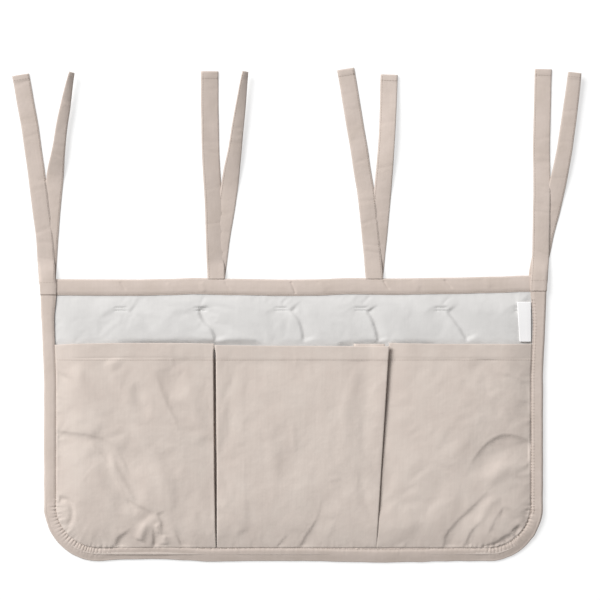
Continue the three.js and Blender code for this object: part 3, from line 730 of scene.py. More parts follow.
def finishes():
    """The materials, made once from the settings."""
    cloths = bpy.context.scene.organizer_cloths
    if "beige cotton poplin" not in bpy.data.materials:
        beige = (0.02, cloths.thread_spacing, 0.12, 0.35 * MM)
        white = (0.01, cloths.thread_spacing, 0.08, 0.25 * MM)
        woven_cotton("beige cotton poplin", cloths.beige, cloths.beige_shade, *beige)
        woven_cotton("beige cotton tape", cloths.tape, cloths.tape_shade, *beige)
        woven_cotton("white cotton cambric", cloths.white, cloths.white_clouds_and_twist_painted_shade, *white)
        # Each thread's second colour is painted shade in the grooves between its strands
        spun_thread("beige polyester thread", cloths.thread, cloths.thread_twist_painted_shade)
        spun_thread("white polyester thread", cloths.white_thread, cloths.white_clouds_and_twist_painted_shade)
        fibre_wadding("polyester wadding", cloths.wadding)
        satin_ribbon("white satin ribbon", cloths.ribbon, cloths.ribbon_rib_painted_shade)
    return bpy.data.materials


class OrganizerCloths(bpy.types.PropertyGroup):
    """Colours and weave of the cloths and threads"""

    beige: bpy.props.StringProperty(name="Beige cotton", description="sRGB hex colour", default="#d4c8bf")
    beige_shade: bpy.props.StringProperty(
        name="Beige cotton, worn", description="sRGB hex colour of its darker clouds", default="#cec1b8"
    )
    tape: bpy.props.StringProperty(name="Beige tape", description="sRGB hex colour", default="#cfc1b8")
    tape_shade: bpy.props.StringProperty(
        name="Beige tape, worn", description="sRGB hex colour of its darker clouds", default="#c8bab0"
    )
    white: bpy.props.StringProperty(name="White cotton", description="sRGB hex colour", default="#dad8d6")
    # On the white cotton this is its darker clouds at random; on the white thread it is painted shade
    # between the strands of its twist
    white_clouds_and_twist_painted_shade: bpy.props.StringProperty(
        name="White cotton, worn", description="sRGB hex colour of its darker clouds", default="#d4d2d0"
    )
    # The beige thread is darker than its own colour: painted shade where the stitches sink into the seams.
    # Its twist colour is painted shade between its strands.
    thread: bpy.props.StringProperty(name="Beige thread", description="sRGB hex colour", default="#a39286")
    thread_twist_painted_shade: bpy.props.StringProperty(
        name="Beige thread, twist", description="sRGB hex colour between its strands", default="#6f6056"
    )
    white_thread: bpy.props.StringProperty(
        name="White thread", description="sRGB hex colour", default="#eeeeea"
    )
    wadding: bpy.props.StringProperty(name="Wadding", description="sRGB hex colour", default="#f4f4f2")
    ribbon: bpy.props.StringProperty(name="Label", description="sRGB hex colour", default="#fdfcfc")
    # Painted shade in the grooves between the label's ribs
    ribbon_rib_painted_shade: bpy.props.StringProperty(
        name="Label, ribs", description="sRGB hex colour between its ribs", default="#f6f4f4"
    )
    thread_spacing: bpy.props.FloatProperty(
        name="Thread spacing", description="Distance between warp threads", default=0.5 * MM, unit="LENGTH"
    )


class OrganizerShapes(bpy.types.PropertyGroup):
    """How full and how creased the sewn pieces are"""

    pocket_height: bpy.props.FloatProperty(
        name="Pocket height", description="Height of the pocket fronts", default=11.6 * MM, unit="LENGTH"
    )
    pocket_crumple: bpy.props.FloatProperty(
        name="Pocket crumple", description="Height of the soft waves", default=1.0 * MM, unit="LENGTH"
    )
    gather: bpy.props.FloatProperty(
        name="Gathers", description="Height of the puckers at the seams", default=1.5 * MM, unit="LENGTH"
    )
    strip_pucker: bpy.props.FloatProperty(
        name="Binding puckers",
        description="Height of the binding's puckers",
        default=0.7 * MM,
        unit="LENGTH",
    )
    corner_gather: bpy.props.FloatProperty(
        name="Corner gathers", description="Depth of the binding's gathers", default=1.8 * MM, unit="LENGTH"
    )
    stitch_pitch: bpy.props.FloatProperty(
        name="Stitch pitch", description="Length from stitch to stitch", default=3.0 * MM, unit="LENGTH"
    )


class OrganizerStage(bpy.types.PropertyGroup):
    """Camera, lamps and floor"""

    camera_height: bpy.props.FloatProperty(
        name="Camera height", description="Height above the floor", default=2.4, unit="LENGTH"
    )
    view_width: bpy.props.FloatProperty(
        name="View width", description="Width that the picture shows", default=0.7086, unit="LENGTH"
    )
    view_x: bpy.props.FloatProperty(
        name="View centre X", description="Middle of the view", default=0.0077, unit="LENGTH"
    )
    view_y: bpy.props.FloatProperty(
        name="View centre Y", description="Middle of the view", default=0.1423, unit="LENGTH"
    )
    key_power: bpy.props.FloatProperty(name="Key power", description="Watts", default=1200.0)
    fill: bpy.props.FloatProperty(name="Fill", description="Strength of the room's light", default=0.38)
    paper: bpy.props.FloatProperty(name="Paper", description="Share that takes the shadow", default=0.45)


# Quilted panel

TACK_ROWS = (131.4, 36.9, -57.6)
TACK_COLUMNS = (-203.8, -109.3, -14.8, 79.7, 174.2, 268.7)
TACKS = [(x * MM, y * MM) for y in TACK_ROWS for x in TACK_COLUMNS]

# Creases of the white strip, from its tacks down to the pockets' top edges: points in
# millimetres, slope, length of the fall and the two reaches, then where they rise and fade
STRIP_CREASES = [
    ([(-114, 134), (-111, 124), (-107, 116), (-97, 106), (-93, 92)], -1.6, 2.0, 7, 9, 0.12, 0.1),
    ([(-6, 131), (3, 121), (8, 110), (11, 92)], -1.4, 2.0, 7, 9, 0.12, 0.1),
    ([(85, 130), (91, 120), (96, 106), (99, 92)], -1.6, 2.0, 7, 9, 0.12, 0.1),
    ([(179, 130), (188, 118), (196, 107), (204, 92)], -1.5, 2.0, 7, 9, 0.12, 0.1),
    ([(-196, 128), (-186, 121), (-174, 112), (-164, 102)], -0.5, 3.0, 9, 12, 0.1, 0.5),
    ([(-203, 126), (-205, 115), (-210, 104)], -0.2, 2.0, 6, 8, 0.1, 0.5),
    ([(264, 138), (265.5, 115), (267.5, 91)], 0.3, 1.0, 4, 5, 0.04, 0.1),
    ([(-150, 98), (-128, 99), (-104, 97), (-93, 93)], 0.3, 2.4, 9, 8, 0.3, 0.1),
    ([(-90, 92), (-70, 95), (-48, 95), (-30, 92)], 0.25, 2.2, 8, 7, 0.1, 0.5),
    ([(-44, 140), (-40, 128), (-38, 114)], -0.12, 3.0, 9, 12, 0.3, 0.5),
    ([(132, 142), (136, 128), (140, 112)], -0.12, 3.0, 9, 12, 0.3, 0.5),
]
STRIP_RIDGES = [
    ([(-110, 137), (-107, 143), (-104, 147)], -0.5, 1.6, 0.1, 0.3),
    ([(-14, 137), (-8, 143), (0, 147)], -0.5, 1.6, 0.1, 0.3),
    ([(82, 137), (86, 143), (92, 147)], -0.5, 1.6, 0.1, 0.3),
    ([(176, 137), (182, 143), (186, 147)], -0.5, 1.6, 0.1, 0.3),
    ([(-204, 137), (-201, 143), (-200, 147)], -0.4, 1.6, 0.1, 0.3),
    ([(-4, 130), (10, 121), (20, 108), (26, 92)], 0.5, 6, 0.2, 0.5),
    ([(90, 130), (102, 121), (112, 108)], 0.4, 6, 0.2, 0.5),
    ([(-236, 120), (-228, 108), (-232, 96)], -0.4, 7, 0.3, 0.4),
]
TACK_GROOVE = 1.1 * MM
TACK_GROOVE_DEPTH = 0.55 * MM

# Its soft waves, the gathers at its seams, and how far its meshes stay inside the outline
QUILT_WAVE = 32 * MM
QUILT_WAVE_HEIGHT = 0.5 * MM
QUILT_GATHER = 9 * MM
QUILT_GATHER_HEIGHT = 0.9 * MM
QUILT_INSET = 8 * MM
FACE_STEP = 1.8 * MM
LINING_STEP = 4 * MM

# How deep the quilt dips behind the pockets' top edges: points (x, depth) in millimetres
MOUTH_DIP = [(-300, 0.8), (-212, 1.0), (-198, 2.2), (-165, 3.4), (-100, 3.6), (-92, 4.0), (-84, 3.0),
             (-45, 2.8), (-30, 1.0), (50, 1.0), (58, 2.6), (104, 2.8), (112, 1.2), (120, 2.8), (160, 2.8),
             (172, 1.0), (300, 1.0)]


def pressed_at(x, y):
    """How flat the quilt is pressed: 1 at its seams and tacks, 0 where it puffs up."""
    inward = from_seams(x, y)
    pressed = 1 - np.sin(np.clip((inward - SEAM_FLAT) / EDGE_REACH, 0, 1) * math.pi / 2)
    for tack_x, tack_y in TACKS:
        dx = np.maximum(np.abs(x - tack_x) - TACK_LENGTH / 2, 0)
        dy = np.maximum(np.abs(y - tack_y) - TACK_SPREAD / 2, 0)
        away = np.hypot(dx, dy) / TUFT_REACH
        pressed = np.maximum(pressed, TACK_PULL * (1 - np.sin(np.clip(away, 0, 1) * math.pi / 2)))
    return pressed


def over_mouth(y):
    """1 where the quilt shows above the pockets, and 0 behind them."""
    return smooth((y - POCKET_TOP + 14 * MM) / (10 * MM))


def face_height(x, y):
    """Top of the quilt's white face."""
    puffed = 1 - pressed_at(x, y)
    top = lerp(PRESSED_FACE, PUFFED_FACE, puffed)
    inward = from_seams(x, y)
    free = smooth(inward / (4 * MM))
    soft = crumple(x, y, QUILT_WAVE, 11) * QUILT_WAVE_HEIGHT * puffed
    place = np.where(band_seam(x) - y < from_seam(x, y), x, seam_place(x, y))
    gathered = puckers(place, inward, QUILT_GATHER, QUILT_GATHER, 23) * QUILT_GATHER_HEIGHT
    shaped = folded(x, y, STRIP_CREASES, STRIP_RIDGES)
    fine = (gathered + shaped - mouth_dip(x, y)) * free * over_mouth(y) - tack_grooves(x, y)
    return top + soft * free + fine - pleat_dip(x, y) * puffed


def mouth_dip(x, y):
    """How far the quilt dips as it runs down behind the pockets' top edges."""
    return waved(x, MOUTH_DIP) * smooth((POCKET_TOP + 9.5 * MM - y) / (11 * MM))


def pleat_dip(x, y):
    """How far the pleats' plies press the quilt down under the pockets."""
    under = 0
    for divider in (LEFT_DIVIDER, RIGHT_DIVIDER):
        away = np.abs(x - divider_x(divider, y))
        under = np.maximum(under, 1 - smooth((away - PLEAT_DEPTH) / (14 * MM)))
    return PLEAT_PRESS * under * smooth((POCKET_TOP - 1 * MM - y) / (12 * MM))


def tack_grooves(x, y):
    """The two short grooves that the stitches pull at each tack."""
    depth = 0
    for tack_x, tack_y in TACKS:
        within = smooth((TACK_LENGTH / 2 + 2 * MM - np.abs(x - tack_x)) / (2 * MM))
        for side in (-0.5, 0.5):
            depth = depth + within * bell((y - tack_y - side * TACK_SPREAD) / TACK_GROOVE)
    return TACK_GROOVE_DEPTH * depth


def lining_height(x, y):
    """Underside of the quilt's lining."""
    return lerp(PRESSED_LINING, PUFFED_LINING, 1 - pressed_at(x, y))


def quilt_grid(step, rows):
    """Places over the panel, drawn in from its outline."""
    columns = np.linspace(-1, 1, int(2 * SIDE / step) + 1)
    y = np.repeat(rows[:, None], len(columns), 1)
    width = np.maximum(half_width(y, QUILT_INSET), 1 * MM)
    return columns[None, :] * width, y


class MESH_OT_organizer_quilt(bpy.types.Operator):
    """Makes the quilt: its white face, its wadding, its lining and its bar tacks"""

    bl_idname = "mesh.organizer_quilt"
    bl_label = "Quilted panel"

    def execute(self, context):
        stuff = finishes()
        cambric = stuff["white cotton cambric"]
        low, high = BOTTOM + QUILT_INSET, TOP - QUILT_INSET
        strip_foot = POCKET_TOP - 6 * MM
        tack_lines = [TACK_ROWS[0] * MM + side * TACK_SPREAD / 2 for side in (-1, 1)]
        hidden = graded(low, strip_foot, 4.5 * MM)
        strip = graded(strip_foot, high, 1.5 * MM, tack_lines, 0.7 * MM, 1.5 * MM)
        x, y = quilt_grid(FACE_STEP, np.concatenate([hidden[:-1], strip]))
        grid = np.stack([x, y, face_height(x, y) - SHEET_CLOTH / 2], -1)
        grid = grid + self.puffed(y[:, 0], np.linspace(-1, 1, x.shape[1]))
        face = cloth("quilted_white_face", grid, SHEET_CLOTH, cambric)
        x, y = quilt_grid(LINING_STEP, graded(low, high, LINING_STEP))
        under = lining_height(x, y)
        grid = np.stack([x, y, under + SHEET_CLOTH / 2], -1)
        lining = cloth("white_back_lining", grid, SHEET_CLOTH, cambric)
        pad = self.filling(x, y, under, stuff["polyester wadding"])
        dress(face, "white_cotton", "quilt_face")
        dress(lining, "white_cotton", "back_lining")
        dress(pad, "wadding", "quilt_wadding")
        self.tacks(face, lining, stuff)
        return {"FINISHED"}

    def filling(self, x, y, under, finish):
        """The wadding: clear of the cloth on both sides, and slacker where the strip shows."""
        puffed = 1 - pressed_at(x, y)
        shown = over_mouth(y)
        space = SHEET_CLOTH + 0.1 * MM
        slack = (1.6 * MM + mouth_dip(x, y)) * shown * puffed
        level = lerp(PRESSED_FACE, PUFFED_FACE, puffed) - space - slack - pleat_dip(x, y) * puffed
        pad_under = np.stack([x, y, under + space], -1)
        level = np.maximum(level - 0.8 * MM * shown, pad_under[..., 2] + 0.4 * MM)
        return shell("quilt_filling", np.stack([x, y, level], -1), pad_under, finish, 0.5 * MM)

    def puffed(self, rows, columns):
        """How the white strip over the pockets puffs up between its seams and tacks."""
        sim_rows = np.linspace(POCKET_TOP - 24 * MM, TOP - 12 * MM, 32)
        sim_columns = np.linspace(-1, 1, 201)
        x, y = quilt_grid(2 * SIDE / 200, sim_rows)
        grid = np.stack([x, y, face_height(x, y)], -1)
        inward = from_seams(x, y)
        held = (inward < 2 * MM) | (y < sim_rows[2])
        for tack_x, tack_y in TACKS[: len(TACK_COLUMNS)]:
            held |= (np.abs(x - tack_x) < TACK_LENGTH / 2) & (np.abs(y - tack_y) < 2.2 * MM)
        moved = blown("blown_strip", grid, held, np.ones_like(x), 1.0, 0.012, 1.2 * MM)
        return np.einsum("ai,ijc,bj->abc", cubic(sim_rows, rows), moved, cubic(sim_columns, columns))

    def tacks(self, face, lining, stuff):
        """Two short rows of stitches at each tack, on the face and again on the lining."""
        laid = []
        for tack_x, tack_y in TACKS:
            for line in (-0.5, 0.5):
                xs = np.linspace(tack_x - TACK_LENGTH / 2, tack_x + TACK_LENGTH / 2, 7)
                row = np.column_stack([xs, np.full_like(xs, tack_y + line * TACK_SPREAD)])
                for piece, side in ((face, 1), (lining, -1)):
                    level = level_of([piece], row, side) + side * 0.05 * MM
                    laid.append(np.column_stack([row, level]))
        tacks = sew("bar_tacks", laid, stuff["white polyester thread"], 2.4 * MM, 2.0 * MM, 0.5 * MM)
        dress(tacks, "white_thread", *[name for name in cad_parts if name.startswith("bar_tack")])


# Bindings

OUTLINE_STEP = 1.8 * MM
CORNER_STEP = 0.9 * MM
BAR_PITCH = 3.6 * MM
BAR_POINTS = np.array([-3.2, -1.9, -0.6]) * MM
SEAM_THREAD = 0.45 * MM


def outline_stations(step, corner_step):
    """Places down the left side, round the bottom and up the right side, and the way in."""
    stations = []
    side_rows = np.linspace(TOP, CORNER_Y, int((TOP - CORNER_Y) / step) + 1)
    angles = np.linspace(0, math.pi / 2, int(CORNER_RADIUS * math.pi / 2 / corner_step) + 1)
    core = LOW_SIDE - CORNER_RADIUS
    flats = np.linspace(-core, core, int(2 * core / step) + 1)
    for y in side_rows[:-1]:
        stations.append((-half_width(y), y, 1.0, 0.0))
    for angle in angles[:-1]:
        c, s = math.cos(angle), math.sin(angle)
        stations.append((-core - CORNER_RADIUS * c, CORNER_Y - CORNER_RADIUS * s, c, s))
    for x in flats[:-1]:
        stations.append((x, BOTTOM, 0.0, 1.0))
    for angle in angles[::-1][:-1]:
        c, s = math.cos(angle), math.sin(angle)
        stations.append((core + CORNER_RADIUS * c, CORNER_Y - CORNER_RADIUS * s, -c, s))
    for y in side_rows[::-1]:
        stations.append((half_width(y), y, -1.0, 0.0))
    return np.array(stations)


# The binding's section: its thickness at the fold, its crown and its seam, where the stitches
# press it down onto the pockets or the quilt
FOLD_THICK = {"left": 5.6 * MM, "right": 6.3 * MM, "bottom": 2.6 * MM, "top": 4.6 * MM}
CROWN = 0.35 * MM
SEAM_PRESS = 0.45 * MM

# Creases of the top binding: points, depth and width in millimetres, then where they rise and fade
BAND_RIDGES = [
    ([(-206, 164), (-197, 153)], -0.7, 1.0, 0.2, 0.3),
    ([(-82, 164), (-74, 153)], -0.6, 1.0, 0.2, 0.3),
    ([(-4, 166), (1, 154), (2, 149)], -1.0, 1.1, 0.1, 0.2),
    ([(106, 166), (110, 159), (115, 154)], -1.0, 1.1, 0.1, 0.3),
    ([(177, 168), (183, 161), (189, 155)], -1.0, 1.1, 0.1, 0.3),
    ([(-150, 163), (-139, 152)], 0.4, 3.0, 0.2, 0.3),
    ([(-110, 164), (-104, 151)], 0.5, 3.0, 0.2, 0.3),
    ([(30, 164), (40, 152)], 0.4, 4.0, 0.2, 0.3),
    ([(140, 166), (150, 154)], 0.4, 4.0, 0.2, 0.3),
    ([(226, 168), (234, 156)], 0.4, 4.0, 0.2, 0.3),
]


def folded_strip(name, at, inward, widths, thick, crest, top, relief, finish):
    """A strip folded over an edge: over its front, round the fold and back along its back.
    Its front rises from the fold to a crown, at a share of its width, and dips to the seam."""
    thick = thick[:, None]
    radius = (thick - BINDING_CLOTH) / 2
    centre = thick / 2
    shares = np.concatenate([np.linspace(1, 0.8, 7), np.linspace(0.74, 0.06, 11)])
    turns = np.linspace(0, math.pi, 9)
    reach = centre + shares * (widths[:, None] - centre)
    spots = at[:, None] + inward[:, None] * reach[..., None]
    rise = np.sin(np.clip(shares / crest[:, None], 0, 1) * math.pi / 2)
    press = (SEAM_PRESS + CROWN) * smooth((shares - 0.72) / 0.28)
    level = lerp(thick, top + CROWN, rise) - press - BINDING_CLOTH / 2
    front = np.dstack([spots, level + relief(spots[..., 0], spots[..., 1], shares)])
    back = np.dstack([spots, np.full(reach.shape, BINDING_CLOTH / 2)])
    arc_spots = at[:, None] + inward[:, None] * (centre - radius * np.sin(turns))[..., None]
    arc_level = centre + radius * np.cos(turns)
    arc = np.dstack([arc_spots, arc_level])
    grid = np.concatenate([front, arc, back[:, ::-1]], 1)
    return cloth(name, grid.swapaxes(0, 1), BINDING_CLOTH, finish)


class MESH_OT_organizer_bindings(bpy.types.Operator):
    """Makes the edge binding, the top binding and their rows of stitches"""

    bl_idname = "mesh.organizer_bindings"
    bl_label = "Bindings"

    def execute(self, context):
        stuff = finishes()
        shapes = context.scene.organizer_shapes
        beige = stuff["beige cotton tape"]
        stations = outline_stations(OUTLINE_STEP, CORNER_STEP)
        at, inward = self.outline(stations)
        place = np.concatenate([[0], np.cumsum(np.linalg.norm(np.diff(at, axis=0), axis=1))])
        widths = strip_width(stations[:, 1])
        low = smooth((CORNER_Y + 22 * MM - at[:, 1]) / (26 * MM))
        corner = low * smooth((np.abs(at[:, 0]) - LOW_SIDE + CORNER_RADIUS + 34 * MM) / (30 * MM))
        pucker = shapes.strip_pucker * (0.3 + 1.1 * corner)
        base = 0.12 + 0.3 * smooth(inward[:, 1])

        def edge_relief(x, y, shares):
            inside = (1 - shares) * widths[:, None]
            along = np.repeat(place[:, None], len(shares), 1)
            soft = pucker[:, None] * (puckers(along, inside, 5.5 * MM, 9 * MM, 31) - 0.35)
            cuts = gathers(along, 4.9 * MM, 37) * (base + corner)[:, None] * shares**2.5
            return soft - shapes.corner_gather * cuts

        to_right = smooth(at[:, 0] / LOW_SIDE * 0.5 + 0.5)
        thick = lerp(FOLD_THICK["left"], FOLD_THICK["right"], to_right)
        thick = lerp(thick, FOLD_THICK["bottom"], smooth(inward[:, 1]))
        crest = lerp(0.5, 1.1, smooth(inward[:, 1]))
        edge = folded_strip(
            "edge_strip", at, inward, widths, thick, crest, STRIP_TOP, edge_relief, beige
        )
        xs = np.linspace(-SIDE + CORNER_STRIP - 4 * MM, SIDE - CORNER_STRIP + 4 * MM, 500)
        band_at = np.column_stack([xs, TOP + waved(xs, TOP_WAVE)])
        down = np.tile([0.0, -1.0], (len(xs), 1))
        small = 0.35 * shapes.strip_pucker

        def band_relief(x, y, shares):
            inside = np.broadcast_to((1 - shares) * TOP_BAND, x.shape)
            soft = small * (puckers(x, inside, 12 * MM, 9 * MM, 57) - 0.35)
            return soft + folded(x, y, [], BAND_RIDGES)

        ones = np.ones(len(xs))
        band_thick = FOLD_THICK["top"] * ones
        band = folded_strip(
            "top_band", band_at, down, TOP_BAND * ones, band_thick, 0.5 * ones, BAND_TOP, band_relief, beige
        )
        dress(edge, "beige_cotton", "edge_binding")
        dress(band, "beige_cotton", "top_binding")
        self.stitches(edge, band, at, inward, widths, stuff, shapes.stitch_pitch)
        return {"FINISHED"}

    def outline(self, stations):
        """The outline with its slight waves, and the way in from it."""
        at, inward = stations[:, :2].copy(), stations[:, 2:]
        at[:, 1] += np.where(at[:, 1] < BOTTOM + 1 * MM, waved(at[:, 0], BOTTOM_WAVE), 0)
        near_top = smooth((at[:, 1] - TOP + 60 * MM) / (60 * MM))
        at[:, 1] += near_top * waved(at[:, 0], TOP_WAVE)
        place = np.arange(len(at)) * OUTLINE_STEP
        at += inward * 0.35 * MM * noise(place / (14 * MM), np.full(len(at), 0.5), 34)[:, None]
        return at, inward

    def stitches(self, edge, band, at, inward, widths, stuff, pitch):
        """Along the seams, and fine bars square to the seam down the right side."""
        row = at + inward * (widths - 0.7 * MM)[:, None]
        keep = row[:, 1] < TOP - 24 * MM
        beside = np.nonzero(keep & (row[:, 0] > 0) & (row[:, 1] > CORNER_Y - 8 * MM))[0]
        every = max(1, round(BAR_PITCH / OUTLINE_STEP))
        reaches = widths[:, None] + BAR_POINTS
        bars = [at[k] + inward[k] * reaches[k][:, None] for k in beside[::every]]
        beige = stuff["beige polyester thread"]
        sewn = sew_on("edge_stitches", [row[keep], *bars], [edge], beige, pitch=pitch, width=SEAM_THREAD)
        xs = np.linspace(-SIDE + CORNER_STRIP + 1 * MM, SIDE - CORNER_STRIP - 1 * MM, 200)
        band_row = np.column_stack([xs, band_seam(xs) + 1.3 * MM])
        top_sewn = sew_on("top_stitches", [band_row], [band], beige, pitch=pitch, width=SEAM_THREAD)
        dress(sewn, "beige_thread", "edge_stitching")
        dress(top_sewn, "beige_thread", "top_stitching")


# Pockets: the radii of their folds, the notches and gathers at their seams, the steps of their
# meshes, and the lip of cloth that stands up at the binding's seam

FOLD_RADIUS = 1.15 * MM
HEM_RADIUS = 0.42 * MM
FOLD_RETURN = 7 * MM
CORNER_NOTCH = 2.8 * MM
NOTCH_PITCH = 6.1 * MM
NOTCH_REACH = 3.5 * MM
GATHER_PITCH = 8.5 * MM
GATHER_REACH = 11 * MM
POCKET_WAVE = 46 * MM
POCKET_STEP = 1.55 * MM
HEM_STEP = 0.25 * MM
HEM_ROW = POCKET_TOP - HEM_DEPTH + 1.5 * MM
QUILT_CLEARANCE = 0.55 * MM
SEAM_LIP = 2.0 * MM
SEAM_LIP_REACH = 1.0 * MM
DIVIDER_REACH = 26 * MM

# Creases of each pocket front: points in millimetres, slope, length of the fall and the two
# reaches, then where they rise and fade
LEFT_CREASES = [
    ([(-278, 60), (-271, 54), (-264, 50.5), (-253, 48)], 0.7, 2.8, 7, 12, 0.02, 0.5),
    ([(-278, -12), (-258, -14.5), (-240, -17), (-222, -22), (-208, -33), (-200, -50)],
     0.75, 3.6, 9, 26, 0.02, 0.6),
    ([(-246, -20), (-230, -36), (-212, -62), (-198, -92), (-188, -120)], -0.5, 7.0, 16, 16, 0.2, 0.3),
    ([(-214, -30), (-203, -44), (-197, -58), (-192, -72)], -0.55, 2.8, 7, 10, 0.3, 0.4),
    ([(-168, 66), (-160, 45), (-152, 24), (-141, 1), (-133, -23), (-127, -56)],
     -0.42, 9.0, 16, 26, 0.3, 0.5),
    ([(-206, -84), (-190, -95), (-172, -104), (-160, -113)], 0.55, 6.0, 10, 16, 0.35, 0.25),
    ([(-162, -108), (-157, -121), (-156, -138)], -0.9, 2.2, 7, 6, 0.2, 0.1),
    ([(-211, -149), (-208, -139), (-197, -130), (-184, -119)], 1.0, 3.0, 8, 10, 0.02, 0.5),
    ([(-166.5, -149), (-166, -135), (-168, -123)], 1.2, 2.2, 6, 6, 0.02, 0.5),
    ([(-133, -149), (-139, -136), (-147, -128)], 1.0, 2.4, 8, 7, 0.02, 0.5),
    ([(-115, -149), (-116.5, -139)], 0.45, 1.4, 4, 4, 0.05, 0.6),
    ([(-238, -149), (-236, -136), (-230, -127)], 0.4, 2.4, 6, 7, 0.02, 0.6),
]
LEFT_RIDGES = [
    ([(-277, -93), (-266, -94), (-261, -104), (-262, -117), (-269, -129)], -1.4, 3.2, 0.05, 0.2),
    ([(-219, -38), (-208, -61), (-196, -82), (-184, -100)], 2.8, 5.0, 0.25, 0.3),
    ([(-162, -121), (-158.5, -134)], 1.3, 2.4, 0.3, 0.3),
    ([(-182, -142), (-177, -128), (-174, -114)], 1.8, 5.0, 0.1, 0.4),
    ([(-152, -147), (-153, -136), (-157, -124)], 1.3, 4.0, 0.1, 0.4),
    ([(-146, 88), (-144, 72), (-142, 56)], 0.5, 2.6, 0.05, 0.5),
    ([(-262, 66), (-246, 40), (-228, 16), (-206, -6)], 1.7, 11.0, 0.2, 0.4),
    ([(-216, 72), (-208, 52), (-196, 30)], 1.3, 9.0, 0.2, 0.5),
    ([(-188, 46), (-178, 20), (-166, 0)], -1.4, 8.0, 0.3, 0.4),
    ([(-238, -26), (-222, -54), (-204, -86), (-194, -112)], -2.8, 14.0, 0.2, 0.3),
    ([(-200, 14), (-177, -22), (-159, -54), (-147, -84), (-139, -122)], 2.3, 9.0, 0.3, 0.3),
    ([(-118, 60), (-114, 0), (-112, -60)], 0.7, 8.0, 0.3, 0.4),
]
CENTRE_CREASES = [
    ([(7, -149), (13, -137), (21, -125), (28, -112), (32, -94), (34, -76)], 0.65, 3.0, 8, 12, 0.02, 0.5),
    ([(-20, -149), (-11, -138), (-1, -130)], 0.65, 1.8, 6, 6, 0.02, 0.6),
    ([(28, -149), (31, -138)], 0.5, 1.5, 5, 5, 0.05, 0.6),
    ([(-50, -149), (-51, -136)], 0.5, 1.5, 5, 5, 0.05, 0.6),
    ([(-58, 40), (-58, -40), (-57, -90), (-56, -145)], -0.16, 5.0, 16, 20, 0.25, 0.1),
    ([(38, -142), (50, -118), (56, -96)], 0.2, 4.0, 10, 12, 0.2, 0.5),
    ([(60, -149), (63, -139)], 0.3, 1.4, 4, 4, 0.05, 0.6),
    ([(-84, 40), (-80, 0), (-78, -50)], -0.1, 5.0, 14, 16, 0.3, 0.4),
]
CENTRE_RIDGES = [
    ([(-86, -94), (-72, -112), (-58, -136)], 0.9, 6.0, 0.2, 0.2),
    ([(1.5, 88), (2.5, 74), (3, 58)], 0.4, 1.8, 0.05, 0.5),
    ([(-2, 8), (0, -20), (2, -44)], 0.4, 3.5, 0.3, 0.4),
    ([(-30, 6), (-24, -40), (-18, -88)], 0.8, 8.0, 0.3, 0.4),
    ([(40, -70), (58, -66)], 0.4, 3.0, 0.2, 0.4),
    ([(62, 60), (60, 0), (64, -60)], 0.7, 9.0, 0.3, 0.4),
]
RIGHT_CREASES = [
    ([(284, -26), (268, -19.5), (248, -16), (229, -25), (214, -41), (205, -58), (200, -76)],
     -0.55, 9.0, 18, 15, 0.02, 0.5),
    ([(281, -38), (271, -31), (262, -27)], -0.4, 2.6, 5, 6, 0.02, 0.5),
    ([(177, -150), (179.5, -135), (190, -120), (208, -103), (223, -88), (238, -73)],
     0.7, 3.6, 12, 18, 0.02, 0.35),
    ([(202, -149), (208, -132), (218, -121), (226, -113)], 0.65, 2.6, 6, 9, 0.02, 0.5),
    ([(229, -134), (237, -116), (246, -102)], 0.45, 3.4, 8, 9, 0.15, 0.2),
    ([(245, -101), (257, -104), (270, -116)], 0.4, 3.4, 8, 12, 0.1, 0.2),
    ([(265, -108), (284, -101)], 0.7, 2.4, 5, 9, 0.3, 0.02),
    ([(218, -149), (236, -144), (249, -136), (258, -132)], 0.9, 2.6, 6, 8, 0.1, 0.15),
    ([(256, -130), (261, -137), (259, -149)], -1.0, 2.2, 5, 7, 0.1, 0.1),
    ([(262, -122), (275, -127)], 0.8, 2.2, 5, 7, 0.2, 0.05),
    ([(228, 57), (255, 53), (273, 44), (283, 35)], 0.35, 4.0, 9, 14, 0.3, 0.05),
    ([(233, 34), (247, 24), (259, 9), (269, -4)], 0.22, 5.0, 12, 14, 0.3, 0.2),
    ([(262, 25), (282, 20)], 0.45, 2.4, 6, 9, 0.3, 0.02),
    ([(262, 70), (272, 62), (282, 56)], 0.25, 2.4, 6, 8, 0.3, 0.05),
    ([(116, -149), (120, -138)], 0.35, 1.6, 5, 5, 0.05, 0.6),
    ([(131, -149), (135, -137)], 0.35, 1.6, 5, 5, 0.05, 0.6),
    ([(160, -149), (162, -139)], 0.3, 1.4, 4, 4, 0.05, 0.6),
]
RIGHT_RIDGES = [
    ([(226, 16), (214, -4), (194, -32), (168, -68)], 1.2, 9.0, 0.25, 0.4),
    ([(254, -48), (240, -62), (226, -78)], 1.1, 8.0, 0.3, 0.4),
    ([(232, 36), (244, 18), (258, -2)], 0.6, 5.0, 0.2, 0.4),
    ([(110, -120), (126, -80), (150, -36), (176, 0)], 1.0, 10.0, 0.2, 0.4),
    ([(140, -146), (160, -100), (190, -50)], -0.8, 9.0, 0.2, 0.5),
    ([(196, 60), (206, 20), (220, -6)], 0.8, 10.0, 0.3, 0.4),
    ([(216, -126), (230, -100), (246, -86)], 0.9, 5.0, 0.2, 0.3),
]


